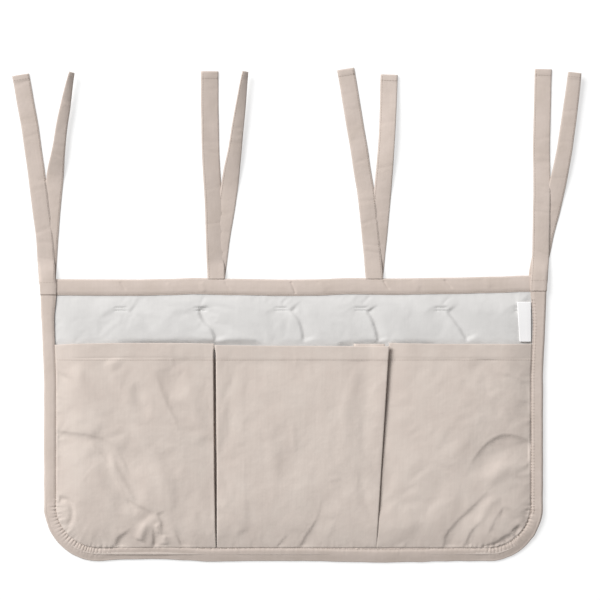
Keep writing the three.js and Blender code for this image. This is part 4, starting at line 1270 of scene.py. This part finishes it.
@dataclass
class Pocket:
    """One pocket front: where its cloth runs, and how high it lies."""

    name: str
    left: dict
    right: dict
    edge_heights: tuple
    creases: list
    ridges: list
    mouth: tuple
    seed: int

    def edges(self, y):
        """The left and right ends of the front's cloth at y."""
        ends = []
        for divider, side in ((self.left, -1), (self.right, 1)):
            if divider is None:
                ends.append(side * half_width(y, strip_width(y) - POCKET_TUCK))
            else:
                ends.append(divider_x(divider, y) - side * self.gap(divider, y) / 2)
        return ends

    def gap(self, divider, y):
        """The gap between the two folds at a divider, which comes to a point at the mouth."""
        share = np.clip(up_pocket(y), 0, 1)
        narrow = lerp(0.55, 1, smooth(share / 0.4)) * lerp(0.15, 1, smooth((1 - share) / 0.045))
        return divider["gap"] * narrow

    def height(self, x, y, shapes):
        """Middle of the cloth's thickness over the plane."""
        full = shapes.pocket_height
        inward = from_seam(x, y)
        swell = np.sin(np.clip((inward - SEAM_FLAT) / POCKET_RISE, 0, 1) * math.pi / 2)
        lip = SEAM_LIP * (1 - np.exp(-np.maximum(inward, 0) / SEAM_LIP_REACH))
        z = lerp(SEWN_POCKET + lip, full, swell)
        for divider, height in zip((self.left, self.right), self.edge_heights):
            if divider is None:
                continue
            away = np.abs(x - divider_x(divider, y))
            low = lerp(divider["foot share"], 1, np.clip(up_pocket(y), 0, 1))
            z = z + (height - full) * low * swell * (1 - smooth(away / DIVIDER_REACH))
        free = smooth((inward + 1 * MM) / (4 * MM))
        loose = smooth((inward - SEAM_FLAT) / (30 * MM))
        hem = smooth((y - POCKET_TOP + HEM_DEPTH) / (1.2 * MM))
        stiff = 1 - 0.45 * hem
        soft = crumple(x, y, POCKET_WAVE, self.seed) * shapes.pocket_crumple * loose * stiff
        place = seam_place(x, y)
        out = np.abs(x)
        corner = smooth((CORNER_Y + 30 * MM - y) / (40 * MM)) * smooth((out - 190 * MM) / (30 * MM))
        side = smooth((out - 240 * MM) / (20 * MM)) * smooth((POCKET_TOP - 20 * MM - y) / (20 * MM))
        strength = 0.45 + 0.55 * np.maximum(corner, 0.6 * side)
        near = puckers(place, inward, GATHER_PITCH, GATHER_REACH, self.seed + 3)
        near = near * shapes.gather * strength * (1 - hem)
        notches = gathers(place, NOTCH_PITCH, self.seed + 7) * np.exp(-np.maximum(inward, 0) / NOTCH_REACH)
        near = near - CORNER_NOTCH * corner * notches
        shaped = folded(x, y, self.creases, self.ridges) * (1 - 0.6 * hem)
        step = HEM_STEP * hem
        groove = -HEM_STEP * bell((y - HEM_ROW) / (0.9 * MM))
        shaped = shaped * np.where(shaped < 0, smooth((inward + 1 * MM) / (7 * MM)), free)
        return self.clear_of_quilt(x, y, z + shaped + (soft + near) * free + (step + groove) * loose)

    def clear_of_quilt(self, x, y, z):
        """A height, carried up where it would sink into the quilt."""
        least = face_height(x, y) + QUILT_CLEARANCE
        over = z - least
        return least + (over + np.hypot(over, 0.2 * MM)) / 2

    def grid(self, shapes, step):
        """Rows of points: over the front, round its folds at the dividers, and down its hem."""
        hem_y = POCKET_TOP - HEM_DEPTH
        top_y = POCKET_TOP - HEM_RADIUS
        below_hem = hem_y - 4 * MM
        seam_rows = graded(SEAM_Y - POCKET_TUCK, below_hem, step, (SEAM_Y + 1.5 * MM,), 0.7 * MM, 3.5 * MM)
        hem_rows = graded(below_hem, top_y, step, (hem_y + 1 * MM,))
        face_rows = np.concatenate([seam_rows[:-1], hem_rows])
        turns = np.linspace(0, math.pi, 7)[1:]
        hem_back = np.linspace(top_y, hem_y, 12)[1:]
        y = np.concatenate([face_rows, top_y + HEM_RADIUS * np.sin(turns), hem_back])
        turned = HEM_RADIUS * (1 - np.cos(turns))
        folded_depth = np.full(len(hem_back), 2 * HEM_RADIUS)
        depth = np.concatenate([np.zeros(len(face_rows)), turned, folded_depth])
        left, right = self.edges(y)
        radius = self.fold_radius(y)
        wide = float(np.max(right) - np.min(left))
        seams = [POCKET_TUCK + 1.5 * MM] if not self.left else []
        seams += [wide - POCKET_TUCK - 1.5 * MM] if not self.right else []
        shares = graded(0, wide, step, seams, 0.7 * MM, 3.5 * MM) / wide
        count = len(shares)
        inner_left = left + (radius if self.left else 0)
        inner_right = right - (radius if self.right else 0)
        x = inner_left[:, None] + (inner_right - inner_left)[:, None] * shares[None, :]
        rows_y = np.repeat(y[:, None], count, 1)
        z = self.height(x, rows_y, shapes) - depth[:, None]
        front = np.stack([x, rows_y, z], -1)
        front = front + self.puffed(shapes, face_rows, shares, len(y))
        face = front[: len(face_rows)]
        face[..., 2] = self.clear_of_quilt(*np.moveaxis(face, -1, 0))
        parts = [front]
        if self.left:
            parts.insert(0, self.fold_back(front[:, 0], radius, depth, -1)[:, ::-1])
        if self.right:
            parts.append(self.fold_back(front[:, -1], radius, depth, 1))
        grid = np.concatenate(parts, 1)
        grid[..., 1] += self.lift_of_mouth(grid[..., 0], grid[..., 1])
        return grid

    def puffed(self, shapes, rows, shares, count):
        """How the front puffs up and gathers at its seams, for the rows of its face only."""
        sim_rows = np.linspace(SEAM_Y - POCKET_TUCK, POCKET_TOP - HEM_DEPTH, 72)
        left, right = self.edges(sim_rows)
        columns = int((np.max(right) - np.min(left)) / (3.4 * MM))
        sim_shares = np.linspace(0, 1, columns)
        x = left[:, None] + (right - left)[:, None] * sim_shares[None, :]
        y = np.repeat(sim_rows[:, None], columns, 1)
        z = self.height(x, y, shapes)
        inward = from_seam(x, y)
        held = (inward < 1 * MM) | (y > sim_rows[-3])
        held[:, 0] = True
        held[:, -1] = True
        loose = np.exp(-np.maximum(inward, 0) / (22 * MM))
        grid = np.stack([x, y, z], -1)
        moved = blown(self.name + "_blown", grid, held, loose, 0.6, 0.03, 2.2 * MM)
        fine = np.zeros((count, len(shares), 3))
        up, across = cubic(sim_rows, rows), cubic(sim_shares, shares)
        fine[: len(rows)] = np.einsum("ai,ijc,bj->abc", up, moved, across)
        return fine

    def lift_of_mouth(self, x, y):
        """How far the top edge's waves carry the cloth up."""
        left, right = self.edges(np.array(POCKET_TOP))
        share = np.clip((x - left) / (right - left), 0, 1)
        wave = np.interp(share, np.linspace(0, 1, len(self.mouth)), self.mouth) * MM
        return wave * np.clip(up_pocket(y), 0, 1) ** 3

    def fold_radius(self, y):
        """Radius of the fold at a divider, which the bottom seam presses flat."""
        share = smooth((y - SEAM_Y - 2 * MM) / (20 * MM))
        return lerp(0.3 * MM, FOLD_RADIUS, share)

    def fold_back(self, edge, radius, depth, side):
        """Columns that turn under at a divider and run back a little."""
        columns = []
        layer = np.maximum(radius - depth, 0.12 * MM)
        centre_z = edge[:, 2] + depth - radius
        for turn in np.linspace(0, math.pi, 8)[1:]:
            x = edge[:, 0] + side * layer * math.sin(turn)
            columns.append(np.stack([x, edge[:, 1], centre_z + layer * math.cos(turn)], -1))
        for back in np.linspace(0, FOLD_RETURN, 5)[1:]:
            x = edge[:, 0] - side * back
            columns.append(np.stack([x, edge[:, 1], centre_z - layer], -1))
        return np.stack(columns, 1)


# The height of each pocket's folds at the dividers, and how far its top edge stands over the
# frame's, in millimetres from left to right
POCKETS = [
    Pocket("left", None, LEFT_DIVIDER, (None, 11.2 * MM), LEFT_CREASES, LEFT_RIDGES,
           (0.6, 2.4, 3.0, 3.4, 3.5, 3.5, 3.2, 2.6), 101),
    Pocket("centre", LEFT_DIVIDER, RIGHT_DIVIDER, (12.4 * MM, 14.6 * MM), CENTRE_CREASES, CENTRE_RIDGES,
           (1.0, 0.6, 0.2, 0.1, 0.0, -0.2, -0.3, -0.3), 211),
    Pocket("right", RIGHT_DIVIDER, None, (9.2 * MM, None), RIGHT_CREASES, RIGHT_RIDGES,
           (3.4, 2.9, 2.5, 2.3, 2.4, 2.3, 2.2, 2.4), 307),
]


class MESH_OT_organizer_pockets(bpy.types.Operator):
    """Makes the three pocket fronts with their hems and rows of stitches"""

    bl_idname = "mesh.organizer_pockets"
    bl_label = "Pockets"

    def execute(self, context):
        stuff = finishes()
        shapes = context.scene.organizer_shapes
        for pocket in POCKETS:
            body = pocket.name + "_pocket"
            grid = pocket.grid(shapes, POCKET_STEP)
            front = cloth(body + "_cloth", grid, SHEET_CLOTH, stuff["beige cotton poplin"])
            left, right = pocket.edges(np.array(HEM_ROW))
            xs = np.linspace(float(left) + 1 * MM, float(right) - 1 * MM, 110)
            xs = xs[np.abs(xs) < half_width(HEM_ROW, strip_width(HEM_ROW))]
            row = np.column_stack([xs, np.full_like(xs, HEM_ROW)])
            name = pocket.name + "_hem_stitches"
            beige = stuff["beige polyester thread"]
            stitches = sew_on(name, [row], [front], beige, pitch=shapes.stitch_pitch, width=SEAM_THREAD)
            for piece, slot in ((front, "beige_cotton"), (stitches, "beige_thread")):
                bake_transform(piece)
            if pocket.name == "centre":
                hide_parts("centre_pocket_front")
            else:
                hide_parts(body + "_sewn_front", body + "_mouth_front")
            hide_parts(pocket.name + "_hem_stitching")
        return {"FINISHED"}


# Pleats: their foot, how far one peeks out above the pocket, and their clearances

PLEAT_LOW = SEAM_Y + 12 * MM
PLEAT_PEEK = 2.6 * MM
PLEAT_CLEARANCE = 0.45 * MM
PLEAT_SPACE = 0.62 * MM
UNDER_FRONT = 0.9 * MM
PLY_GAP = 0.05 * MM


class MESH_OT_organizer_pleats(bpy.types.Operator):
    """Makes the four halves of the box pleats, each folded in two under its pocket"""

    bl_idname = "mesh.organizer_pleats"
    bl_label = "Pleats"

    def execute(self, context):
        stuff = finishes()
        shapes = context.scene.organizer_shapes
        left, centre, right = POCKETS
        halves = [
            ("left_pleat_left_half", left, LEFT_DIVIDER, -1),
            ("left_pleat_right_half", centre, LEFT_DIVIDER, 1),
            ("right_pleat_left_half", centre, RIGHT_DIVIDER, -1),
            ("right_pleat_right_half", right, RIGHT_DIVIDER, 1),
        ]
        for name, pocket, divider, side in halves:
            top = POCKET_TOP + PLEAT_PEEK if name == "right_pleat_left_half" else POCKET_TOP - 0.5 * MM
            grid, front_z, rise = self.half(pocket, divider, side, top, shapes)
            piece = cloth(name.replace("half", "ply"), grid, PLEAT_CLOTH, stuff["beige cotton poplin"])
            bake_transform(piece)
            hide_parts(name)
        return {"FINISHED"}

    def half(self, pocket, divider, side, top, shapes):
        """Its points, its front ply's height, and how far that lies above the back ply."""
        y = np.linspace(PLEAT_LOW, top, 110)
        edge_height = pocket.edge_heights[0 if side > 0 else 1]
        front_z = edge_height - 2 * FOLD_RADIUS - SHEET_CLOTH / 2 - PLEAT_CLOTH / 2 - PLY_GAP
        back_z = PUFFED_FACE - PLEAT_PRESS + PLEAT_CLEARANCE
        start = divider_x(divider, y)

        def low(x):
            return np.maximum(face_height(x, y) + PLEAT_CLEARANCE, 0)

        def high(x):
            under = np.minimum(front_z, pocket.height(x, y, shapes) - UNDER_FRONT)
            return np.maximum(under, low(x) + PLEAT_SPACE)

        columns = []
        turn_at = start + side * (PLEAT_DEPTH - 1 * MM)
        for away in np.linspace(FOLD_RETURN - 1.5 * MM, PLEAT_DEPTH - 1 * MM, 16):
            x = start + side * away
            columns.append((x, high(x)))
        radius = (high(turn_at) - low(turn_at)) / 2
        for turn in np.linspace(0, math.pi, 8)[1:]:
            x = turn_at + side * radius * math.sin(turn)
            columns.append((x, low(turn_at) + radius * (1 + math.cos(turn))))
        for away in np.linspace(PLEAT_DEPTH - 1 * MM, 0.4 * MM, 20)[1:]:
            x = start + side * away
            columns.append((x, low(x)))
        grid = np.stack([np.stack([x, y, z], -1) for x, z in columns], 1)
        if side > 0:
            return grid, front_z, front_z - back_z
        return grid[:, ::-1], front_z, front_z - back_z


# Ties

RING_POINTS = 6
TAIL_ROWS = 170
TAIL_COLUMNS = 13
TAIL_LIFT = 30 * MM


def ring_ends(node_name):
    """The left and right edges of a tail, read off the frame's solid ring by ring."""
    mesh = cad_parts[node_name].data
    points = np.array([v.co for v in mesh.vertices])
    points = np.unique(np.round(points, 6), axis=0)
    points = points[np.argsort(points[:, 1])]
    ends = []
    for ring in points.reshape(-1, RING_POINTS, 3):
        gaps = np.linalg.norm(ring[:, None] - ring[None, :], axis=2)
        a, b = np.unravel_index(np.argmax(gaps), gaps.shape)
        pair = ring[[a, b]]
        ends.append(pair[np.argsort(pair[:, 0])])
    return np.array(ends)


# How far each outer front tail's foot runs down over the side strip, and its two rows of
# stitches there, over the strip's end
LAP = {1: 18.8 * MM, 4: 14.4 * MM}
LAP_CLOTH = 0.7 * MM
LAP_ROWS = {1: (TOP - 18.2 * MM, TOP - 4.2 * MM), 4: (TOP - 13.6 * MM, TOP - 1.4 * MM)}

# How each tail lies: how much of the frame's twist it keeps, turned the other way where that is
# negative, and how many millimetres its left edge stands over its right
LIE = {
    (1, "front"): (1.0, 1.6),
    (1, "rear"): (-0.2, 0.4),
    (2, "front"): (1.0, 3.4),
    (2, "rear"): (-0.2, 0.4),
    (3, "front"): (1.0, 0.6),
    (3, "rear"): (0.6, 0.8),
    (4, "front"): (1.0, -0.3),
    (4, "rear"): (0.0, 0.0),
}

# How far a tail's foot stands beside the frame's, and over what length it comes back
FOOT_SHIFT = {(4, "rear"): -2.2 * MM}
FOOT_RETURN = 35 * MM

# The tails whose row of stitches shows along the right edge
SEWN_RIGHT = ((1, "front"), (3, "front"), (4, "rear"), (1, "rear"))


class MESH_OT_organizer_ties(bpy.types.Operator):
    """Makes the eight tails of the four ties, with their rows of stitches"""

    bl_idname = "mesh.organizer_ties"
    bl_label = "Ties"

    def execute(self, context):
        stuff = finishes()
        for number in range(1, 5):
            for face in ("front", "rear"):
                self.tail(number, face, stuff, context.scene.organizer_shapes)
        return {"FINISHED"}

    def tail(self, number, face, stuff, shapes):
        """One tail: a strip along the frame's, eased into its own lie, with its stitches."""
        body = f"tie_{number}_{face}"
        ends = ring_ends(body + "_tail")
        seed = 400 + 10 * number + (face == "rear")
        left = curve_through(ends[:, 0], TAIL_ROWS)
        right = curve_through(ends[:, 1], TAIL_ROWS)
        steps = np.linalg.norm(np.diff((left + right) / 2, axis=0), axis=1)
        length = np.concatenate([[0], np.cumsum(steps)])
        free = smooth((length - 6 * MM) / (20 * MM))
        twist, tilt = LIE[number, face]
        half = (left[:, 2] - right[:, 2]) / 2
        wanted = half * twist + tilt * MM / 2
        low = np.minimum((left[:, 2] + right[:, 2]) / 2, left[0, 2] + TAIL_LIFT)
        lift = np.maximum(np.abs(wanted) - np.maximum(low - TIE_CLOTH / 2, 0), 0)
        change = lerp(half, wanted, free)
        middle = (left[:, 2] + right[:, 2]) / 2 + lift * free
        left[:, 2], right[:, 2] = middle + change, middle - change
        shares = np.linspace(0, 1, TAIL_COLUMNS)
        across = right - left
        grid = left[:, None] + across[:, None] * shares[None, :, None]
        along = np.gradient((left + right) / 2, axis=0)
        normal = np.cross(across, along)
        normal /= np.linalg.norm(normal, axis=1, keepdims=True)
        s = np.repeat(length[:, None], len(shares), 1)
        t = np.repeat((shares * 2 - 1)[None, :], len(length), 0)
        grid = grid + normal[:, None] * (self.creases(s, t, seed) * free[:, None])[..., None]
        sway = 0.35 * MM * noise(s / (26 * MM), t * 0.2 + 3, seed + 5) * free[:, None]
        grid = grid + (across / np.linalg.norm(across, axis=1, keepdims=True))[:, None] * sway[..., None]
        shift = FOOT_SHIFT.get((number, face), 0)
        grid[..., 0] += shift * (1 - smooth((s - 5 * MM) / FOOT_RETURN))
        hem = smooth((s - length[-1] + 7.5 * MM) / (1.0 * MM))
        thickness = TIE_CLOTH * (1 + 0.45 * hem) * (1 - 0.25 * t**4)
        rows = []
        if number in LAP and face == "front":
            grid, thickness = self.lapped(grid, thickness, number)
            rows = [self.across_lap(y, number) for y in LAP_ROWS[number]]
        grid[..., 2] = np.maximum(grid[..., 2], thickness / 2 + 0.05 * MM)
        piece = cloth(body + "_strip", grid, thickness, stuff["beige cotton tape"])
        top = normals_of(grid) * (thickness[..., None] / 2) + grid
        edge = self.rows_of_stitches(top, number, face)
        edge += [np.column_stack([row, level_of([piece], row) - 0.05 * MM]) for row in rows]
        beige = stuff["beige polyester thread"]
        stitches = sew(body + "_stitches", edge, beige, shapes.stitch_pitch, 2.4 * MM, 0.4 * MM)
        for made, slot in ((piece, "beige_cotton"), (stitches, "beige_thread")):
            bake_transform(made)
        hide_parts(body + "_tail")
        middle = grid[:, TAIL_COLUMNS // 2]

    def side_edges(self, y, number):
        """The outer edge and the seam of the side strip at y, from left to right."""
        outer, seam = half_width(y) - 0.3 * MM, half_width(y) - strip_width(y)
        return (-outer, -seam) if number == 1 else (seam, outer)

    def across_lap(self, y, number):
        """A row across the lap at y, clear of the strip's edges."""
        left, right = self.side_edges(np.array(y), number)
        xs = np.linspace(float(left) + 1.5 * MM, float(right) - 1 * MM, 12)
        return np.column_stack([xs, np.full_like(xs, y)])

    def lapped(self, grid, thickness, number):
        """Carries an outer tail's foot down over the side strip, thin and close to it."""
        columns = grid.shape[1]
        foot = grid[0, :, 1].mean()
        lap_y = np.linspace(foot - LAP[number], foot - 1.2 * MM, 14)
        strip = [bpy.data.objects["edge_strip"], bpy.data.objects["top_band"]]
        lap = np.zeros((len(lap_y), columns, 3))
        for k, y in enumerate(lap_y):
            left, right = self.side_edges(np.array(y), number)
            near = smooth((y - foot + 8 * MM) / (8 * MM))
            left, right = lerp(left, grid[0, 0, 0], near), lerp(right, grid[0, -1, 0], near)
            lap[k, :, 0] = np.linspace(left, right, columns)
            lap[k, :, 1] = y
            inside = np.clip(lap[k, :, 0], left + 1.2 * MM, right - 0.8 * MM)
            spots = np.column_stack([inside, np.full(columns, min(y, TOP - 2.5 * MM))])
            lap[k, :, 2] = level_of(strip, spots) + LAP_CLOTH / 2 + 0.08 * MM
        beyond = smooth((grid[..., 1] - foot) / (24 * MM))
        grid = grid.copy()
        grid[..., 2] += (lap[-1, :, 2] - grid[0, :, 2])[None, :] * (1 - beyond)
        thin = lerp(LAP_CLOTH, thickness, smooth((grid[..., 1] - foot) / (12 * MM)))
        return np.concatenate([lap, grid]), np.concatenate([np.full(lap.shape[:2], LAP_CLOTH), thin])

    def creases(self, s, t, seed):
        """Cross creases, long soft waves and a slight crown."""
        rng = np.random.default_rng(seed)
        lift = 0.3 * MM * noise(s / (30 * MM), t * 0.6, seed) + 0.25 * MM * (1 - t**2)
        for _ in range(11):
            at = rng.uniform(15, 235) * MM
            slant = rng.uniform(-3, 3) * MM
            width = rng.uniform(1.2, 3.0) * MM
            lift -= rng.uniform(0.1, 0.35) * MM * bell((s - at - slant * t) / width)
        return lift

    def rows_of_stitches(self, top, number, face):
        """Down the sewn edge, and across the tip's hem."""
        side = -2 if (number, face) in SEWN_RIGHT else 1
        return [top[3:-2, side], top[-6, 1:-1]]


# Label: where its fold lies at its two ends, its height at the binding, the gap between its plies
# and how far its free edge curls up

LABEL_FOLD = {"top": 264.1 * MM, "foot": 267.1 * MM}
LABEL_SEAT = 5.75 * MM
LABEL_GAP = 0.75 * MM
LABEL_CURL = 0.5 * MM


class MESH_OT_organizer_label(bpy.types.Operator):
    """Makes the loop label of satin ribbon, caught in the right side's binding"""

    bl_idname = "mesh.organizer_label"
    bl_label = "Label"

    def execute(self, context):
        stuff = finishes()
        low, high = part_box("side_label")
        y = np.linspace(low.y, high.y, 40)
        up = (y - low.y) / (high.y - low.y)
        rise = 0.12 * (high.z - LABEL_SEAT - LABEL_GAP)
        columns = []
        for share in np.linspace(0, 1, 16):
            columns.append((share, -1, 0.0))
        for turn in np.linspace(0, math.pi, 7)[1:-1]:
            columns.append((1.0, -math.cos(turn), math.sin(turn)))
        for share in np.linspace(1, 0, 16):
            columns.append((share, 1, 0.0))
        grid = np.zeros((len(y), len(columns), 3))
        length = high.x - lerp(LABEL_FOLD["foot"], LABEL_FOLD["top"], up)
        for k, (share, level, out) in enumerate(columns):
            curl = LABEL_CURL * share * np.sin(up * math.pi)
            spread = LABEL_GAP / 2 * (0.35 + 0.65 * min(1, share * 3))
            grid[:, k, 0] = high.x - 0.2 * MM - (length - 0.6 * MM) * share - out * spread
            grid[:, k, 1] = y
            grid[:, k, 2] = LABEL_SEAT + rise * share**1.4 + curl + level * spread
        label = cloth("loop_label", grid[:, ::-1], RIBBON, stuff["white satin ribbon"])
        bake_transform(label)
        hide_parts("side_label")
        return {"FINISHED"}


# Stage: the floor, the lamp, and the camera, whose view is as wide as the settings say at the
# height VIEW_LEVEL

FLOOR_HALF = 30.0
LAMP_PLACE = (-5.7, 5.4, 5.9)
LAMP_SIZE = (6.0, 4.6)
LAMP_AIM = Vector((0, 0.08, 0))
PAPER_WHITE = 1.06
SENSOR = 36
VIEW_LEVEL = 6 * MM


class SCENE_OT_organizer_stage(bpy.types.Operator):
    """Makes the floor, the lamps, the room's light and the camera"""

    bl_idname = "scene.organizer_stage"
    bl_label = "Stage"

    def execute(self, context):
        stage = context.scene.organizer_stage
        self.floor(stage)
        self.lamps(context.scene, stage)
        self.camera(context.scene, stage)
        return {"FINISHED"}

    def floor(self, stage):
        mesh = bpy.data.meshes.new("paper_floor")
        corners = [(x * FLOOR_HALF, y * FLOOR_HALF, 0) for x, y in ((-1, -1), (1, -1), (1, 1), (-1, 1))]
        mesh.from_pydata(corners, [], [(0, 1, 2, 3)])
        paper = seamless_paper("white paper", stage.paper, PAPER_WHITE - stage.paper)
        new_object("paper_floor", mesh, paper)

    def lamps(self, scene, stage):
        light = bpy.data.lights.new("key_softbox", "AREA")
        light.shape = "RECTANGLE"
        light.size, light.size_y = LAMP_SIZE
        light.energy = stage.key_power
        lamp = bpy.data.objects.new("key_softbox", light)
        lamp.location = LAMP_PLACE
        aim = LAMP_AIM - lamp.location
        lamp.rotation_euler = aim.to_track_quat("-Z", "Y").to_euler()
        scene.collection.objects.link(lamp)
        world = bpy.data.worlds.new("white_room")
        world.use_nodes = True
        tree = world.node_tree
        tree.nodes.clear()
        rays = node(tree, "ShaderNodeLightPath").outputs
        kinds = {0: rays["Is Camera Ray"], 1: rays["Is Transmission Ray"]}
        seen = node(tree, "ShaderNodeMath", kinds, operation="MAXIMUM")
        strength = node(tree, "ShaderNodeMapRange", {"Value": seen, "To Min": stage.fill, "To Max": 1.0})
        sky = node(tree, "ShaderNodeBackground", {"Strength": strength})
        node(tree, "ShaderNodeOutputWorld", {"Surface": sky})
        scene.world = world

    def camera(self, scene, stage):
        lens = bpy.data.cameras.new("overhead_camera")
        lens.sensor_width = SENSOR
        lens.lens = SENSOR * (stage.camera_height - VIEW_LEVEL) / stage.view_width
        lens.clip_end = 100
        camera = bpy.data.objects.new("overhead_camera", lens)
        camera.location = (stage.view_x, stage.view_y, stage.camera_height)
        scene.collection.objects.link(camera)
        scene.camera = camera
        scene.view_settings.view_transform = "Standard"


class VIEW3D_PT_organizer(bpy.types.Panel):
    """Lists the organizer's pieces and settings"""

    bl_label = "Crib Organizer"
    bl_idname = "VIEW3D_PT_organizer"
    bl_space_type = "VIEW_3D"
    bl_region_type = "UI"
    bl_category = "Organizer"

    def draw(self, context):
        for operator in OPERATORS:
            self.layout.operator(operator.bl_idname)
        for group in (context.scene.organizer_shapes, context.scene.organizer_stage):
            for key in group.bl_rna.properties.keys():
                if key not in ("rna_type", "name"):
                    self.layout.prop(group, key)


OPERATORS = (
    MESH_OT_organizer_quilt,
    MESH_OT_organizer_bindings,
    MESH_OT_organizer_pockets,
    MESH_OT_organizer_pleats,
    MESH_OT_organizer_ties,
    MESH_OT_organizer_label,
    SCENE_OT_organizer_stage,
)
GROUPS = (OrganizerCloths, OrganizerShapes, OrganizerStage)
CLASSES = (*GROUPS, *OPERATORS, VIEW3D_PT_organizer)


def register():
    for one in CLASSES:
        bpy.utils.register_class(one)
    bpy.types.Scene.organizer_cloths = bpy.props.PointerProperty(type=OrganizerCloths)
    bpy.types.Scene.organizer_shapes = bpy.props.PointerProperty(type=OrganizerShapes)
    bpy.types.Scene.organizer_stage = bpy.props.PointerProperty(type=OrganizerStage)


def unregister():
    del bpy.types.Scene.organizer_stage
    del bpy.types.Scene.organizer_shapes
    del bpy.types.Scene.organizer_cloths
    for one in reversed(CLASSES):
        bpy.utils.unregister_class(one)


def main():
    register()
    for operator in OPERATORS:
        space, name = operator.bl_idname.split(".")
        getattr(getattr(bpy.ops, space), name)()


if __name__ == "__main__":
    main()
